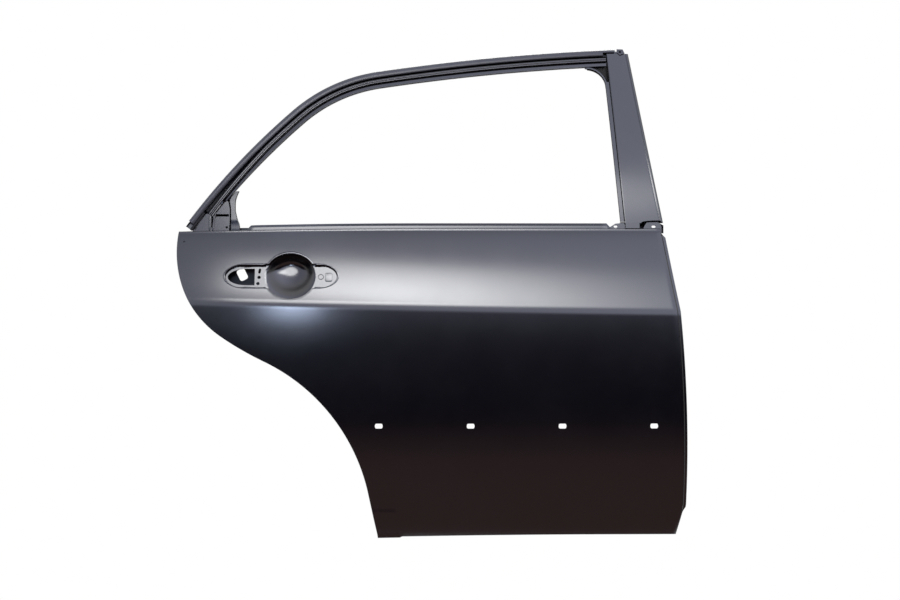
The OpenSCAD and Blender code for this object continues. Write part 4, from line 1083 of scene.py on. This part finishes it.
# %% Lamps
def softbox(name, azimuth, elevation, distance, width, height, radiance, colour="#ffffff", hot=None):
    """A soft lamp aimed at the door's middle; azimuth 0 is in front, positive to the right.
    hot says where along its top edge it is brightest, and over which shares it dims from there."""
    a, e = math.radians(azimuth), math.radians(elevation)
    middle = place(520, 0, 480)
    away = Vector((math.sin(a) * math.cos(e), -math.cos(a) * math.cos(e), math.sin(e)))
    data = bpy.data.lights.new(name, "AREA")
    data.shape = "RECTANGLE"
    data.size, data.size_y = width, height
    data.energy = radiance * math.pi * width * height
    data.color = linear(colour)[:3]
    if hot:
        data.use_nodes = True
        tree = data.node_tree
        face = add_node(tree, "ShaderNodeNewGeometry").outputs["Parametric"]
        off = add_node(tree, "ShaderNodeVectorMath", {"operation": "SUBTRACT"}, _0=face, _1=(hot[0], 1, 0))
        share = add_node(tree, "ShaderNodeVectorMath", {"operation": "DIVIDE"}, _0=off.outputs[0],
                         _1=(hot[1], hot[2], 1))
        square = add_node(tree, "ShaderNodeVectorMath", {"operation": "DOT_PRODUCT"}, _0=share.outputs[0],
                          _1=share.outputs[0])
        drop = add_node(tree, "ShaderNodeMath", {"operation": "MULTIPLY"}, _0=square.outputs["Value"], _1=-0.5)
        fall = add_node(tree, "ShaderNodeMath", {"operation": "EXPONENT"}, _0=drop.outputs[0])
        tree.links.new(fall.outputs[0], tree.nodes["Emission"].inputs["Strength"])
    lamp = bpy.data.objects.new(name, data)
    bpy.context.scene.collection.objects.link(lamp)
    lamp.visible_camera = False
    lamp.location = middle + away * distance
    lamp.rotation_euler = away.to_track_quat("Z", "Y").to_euler()
    return lamp


softbox("strip_above_camera", 7.2, 38, 1.1, 1.46, 0.23, 11.2, hot=(0.33, 0.28, 0.68))
softbox("small_low_left", -18.4, 10.5, 1.5, 0.14, 0.18, 16.5, "#cfe0ff")
softbox("behind", 165, 40, 3.2, 2.0, 1.4, 7)
softbox("behind_left", 235, 20, 3.4, 1.4, 1.6, 4)

# %% [markdown]
# ## Floor and room
# The background is white to the camera and to clear things, and so is the room behind the
# door for what is mirrored. The room in front is dim, with a little warm floor light. The
# door hangs by its hinges, half a metre over a round pale floor that fades into the white.

# %% Floor and room
bpy.ops.mesh.primitive_circle_add(vertices=96, radius=0.85, fill_type="NGON",
                                  location=place(520, 600, -600))
floor = bpy.context.object
floor.name = "floor"
paper = bpy.data.materials.new("white_studio_paper")
paper.use_nodes = True
tree = paper.node_tree
tree.nodes.clear()
where = add_node(tree, "ShaderNodeTexCoord").outputs["Object"]
away = add_node(tree, "ShaderNodeVectorMath", {"operation": "LENGTH"}, Vector=where).outputs["Value"]
fade = add_node(tree, "ShaderNodeMapRange", {"interpolation_type": "SMOOTHSTEP"}, Value=away,
                From_Min=0.4, From_Max=0.8).outputs[0]
sight = add_node(tree, "ShaderNodeLightPath").outputs["Is Camera Ray"]
share = add_node(tree, "ShaderNodeMath", {"operation": "MULTIPLY"}, _0=fade, _1=sight).outputs[0]
matt = add_node(tree, "ShaderNodeBsdfDiffuse", Color=linear("#e6e6e6"))
white = add_node(tree, "ShaderNodeEmission", Color=(1, 1, 1, 1), Strength=1.0)
both = add_node(tree, "ShaderNodeMixShader", _0=share, _1=matt.outputs[0], _2=white.outputs[0])
add_node(tree, "ShaderNodeOutputMaterial", Surface=both.outputs[0])
floor.data.materials.append(paper)

world = bpy.data.worlds.new("studio")
bpy.context.scene.world = world
world.use_nodes = True
tree = world.node_tree
tree.nodes.clear()
facing = add_node(tree, "ShaderNodeTexCoord").outputs["Generated"]
split = add_node(tree, "ShaderNodeSeparateXYZ", Vector=facing)
behind = add_node(tree, "ShaderNodeMapRange", Value=split.outputs["Y"], From_Min=-0.5, From_Max=0.1)
upward = add_node(tree, "ShaderNodeMapRange", Value=split.outputs["Z"], From_Min=-0.21, From_Max=-0.07)
low_room = add_node(tree, "ShaderNodeMix", {"data_type": "RGBA"}, _0=upward.outputs[0],
                    _6=(0.235, 0.145, 0.14, 1), _7=(0.015, 0.015, 0.03, 1))
side = add_node(tree, "ShaderNodeMapRange", Value=split.outputs["X"], From_Min=-0.3, From_Max=0.2,
                To_Min=0.6, To_Max=1.1)
wall = add_node(tree, "ShaderNodeMix", {"data_type": "RGBA", "blend_type": "MULTIPLY"}, _0=1.0,
                _6=(1.4, 1.46, 1.85, 1), _7=side.outputs[0])
rise = add_node(tree, "ShaderNodeMapRange", {"interpolation_type": "SMOOTHSTEP"},
                Value=split.outputs["Z"], From_Min=0.12, From_Max=0.27)
room = add_node(tree, "ShaderNodeMix", {"data_type": "RGBA"}, _0=rise.outputs[0],
                _6=low_room.outputs[2], _7=wall.outputs[2])
around = add_node(tree, "ShaderNodeMix", {"data_type": "RGBA"}, _0=behind.outputs[0],
                  _6=room.outputs[2], _7=(1, 1, 1, 1))
path = add_node(tree, "ShaderNodeLightPath")
clear = add_node(tree, "ShaderNodeMath", {"operation": "MAXIMUM"}, _0=path.outputs["Is Camera Ray"],
                 _1=path.outputs["Is Transmission Ray"])
shown = add_node(tree, "ShaderNodeMix", {"data_type": "RGBA"}, _0=clear.outputs[0],
                 _6=around.outputs[2], _7=(1, 1, 1, 1))
sky = add_node(tree, "ShaderNodeBackground", Color=shown.outputs[2], Strength=1.0)
add_node(tree, "ShaderNodeOutputWorld", Surface=sky.outputs[0])
bpy.context.scene.view_settings.view_transform = "Standard"
print("stage set")
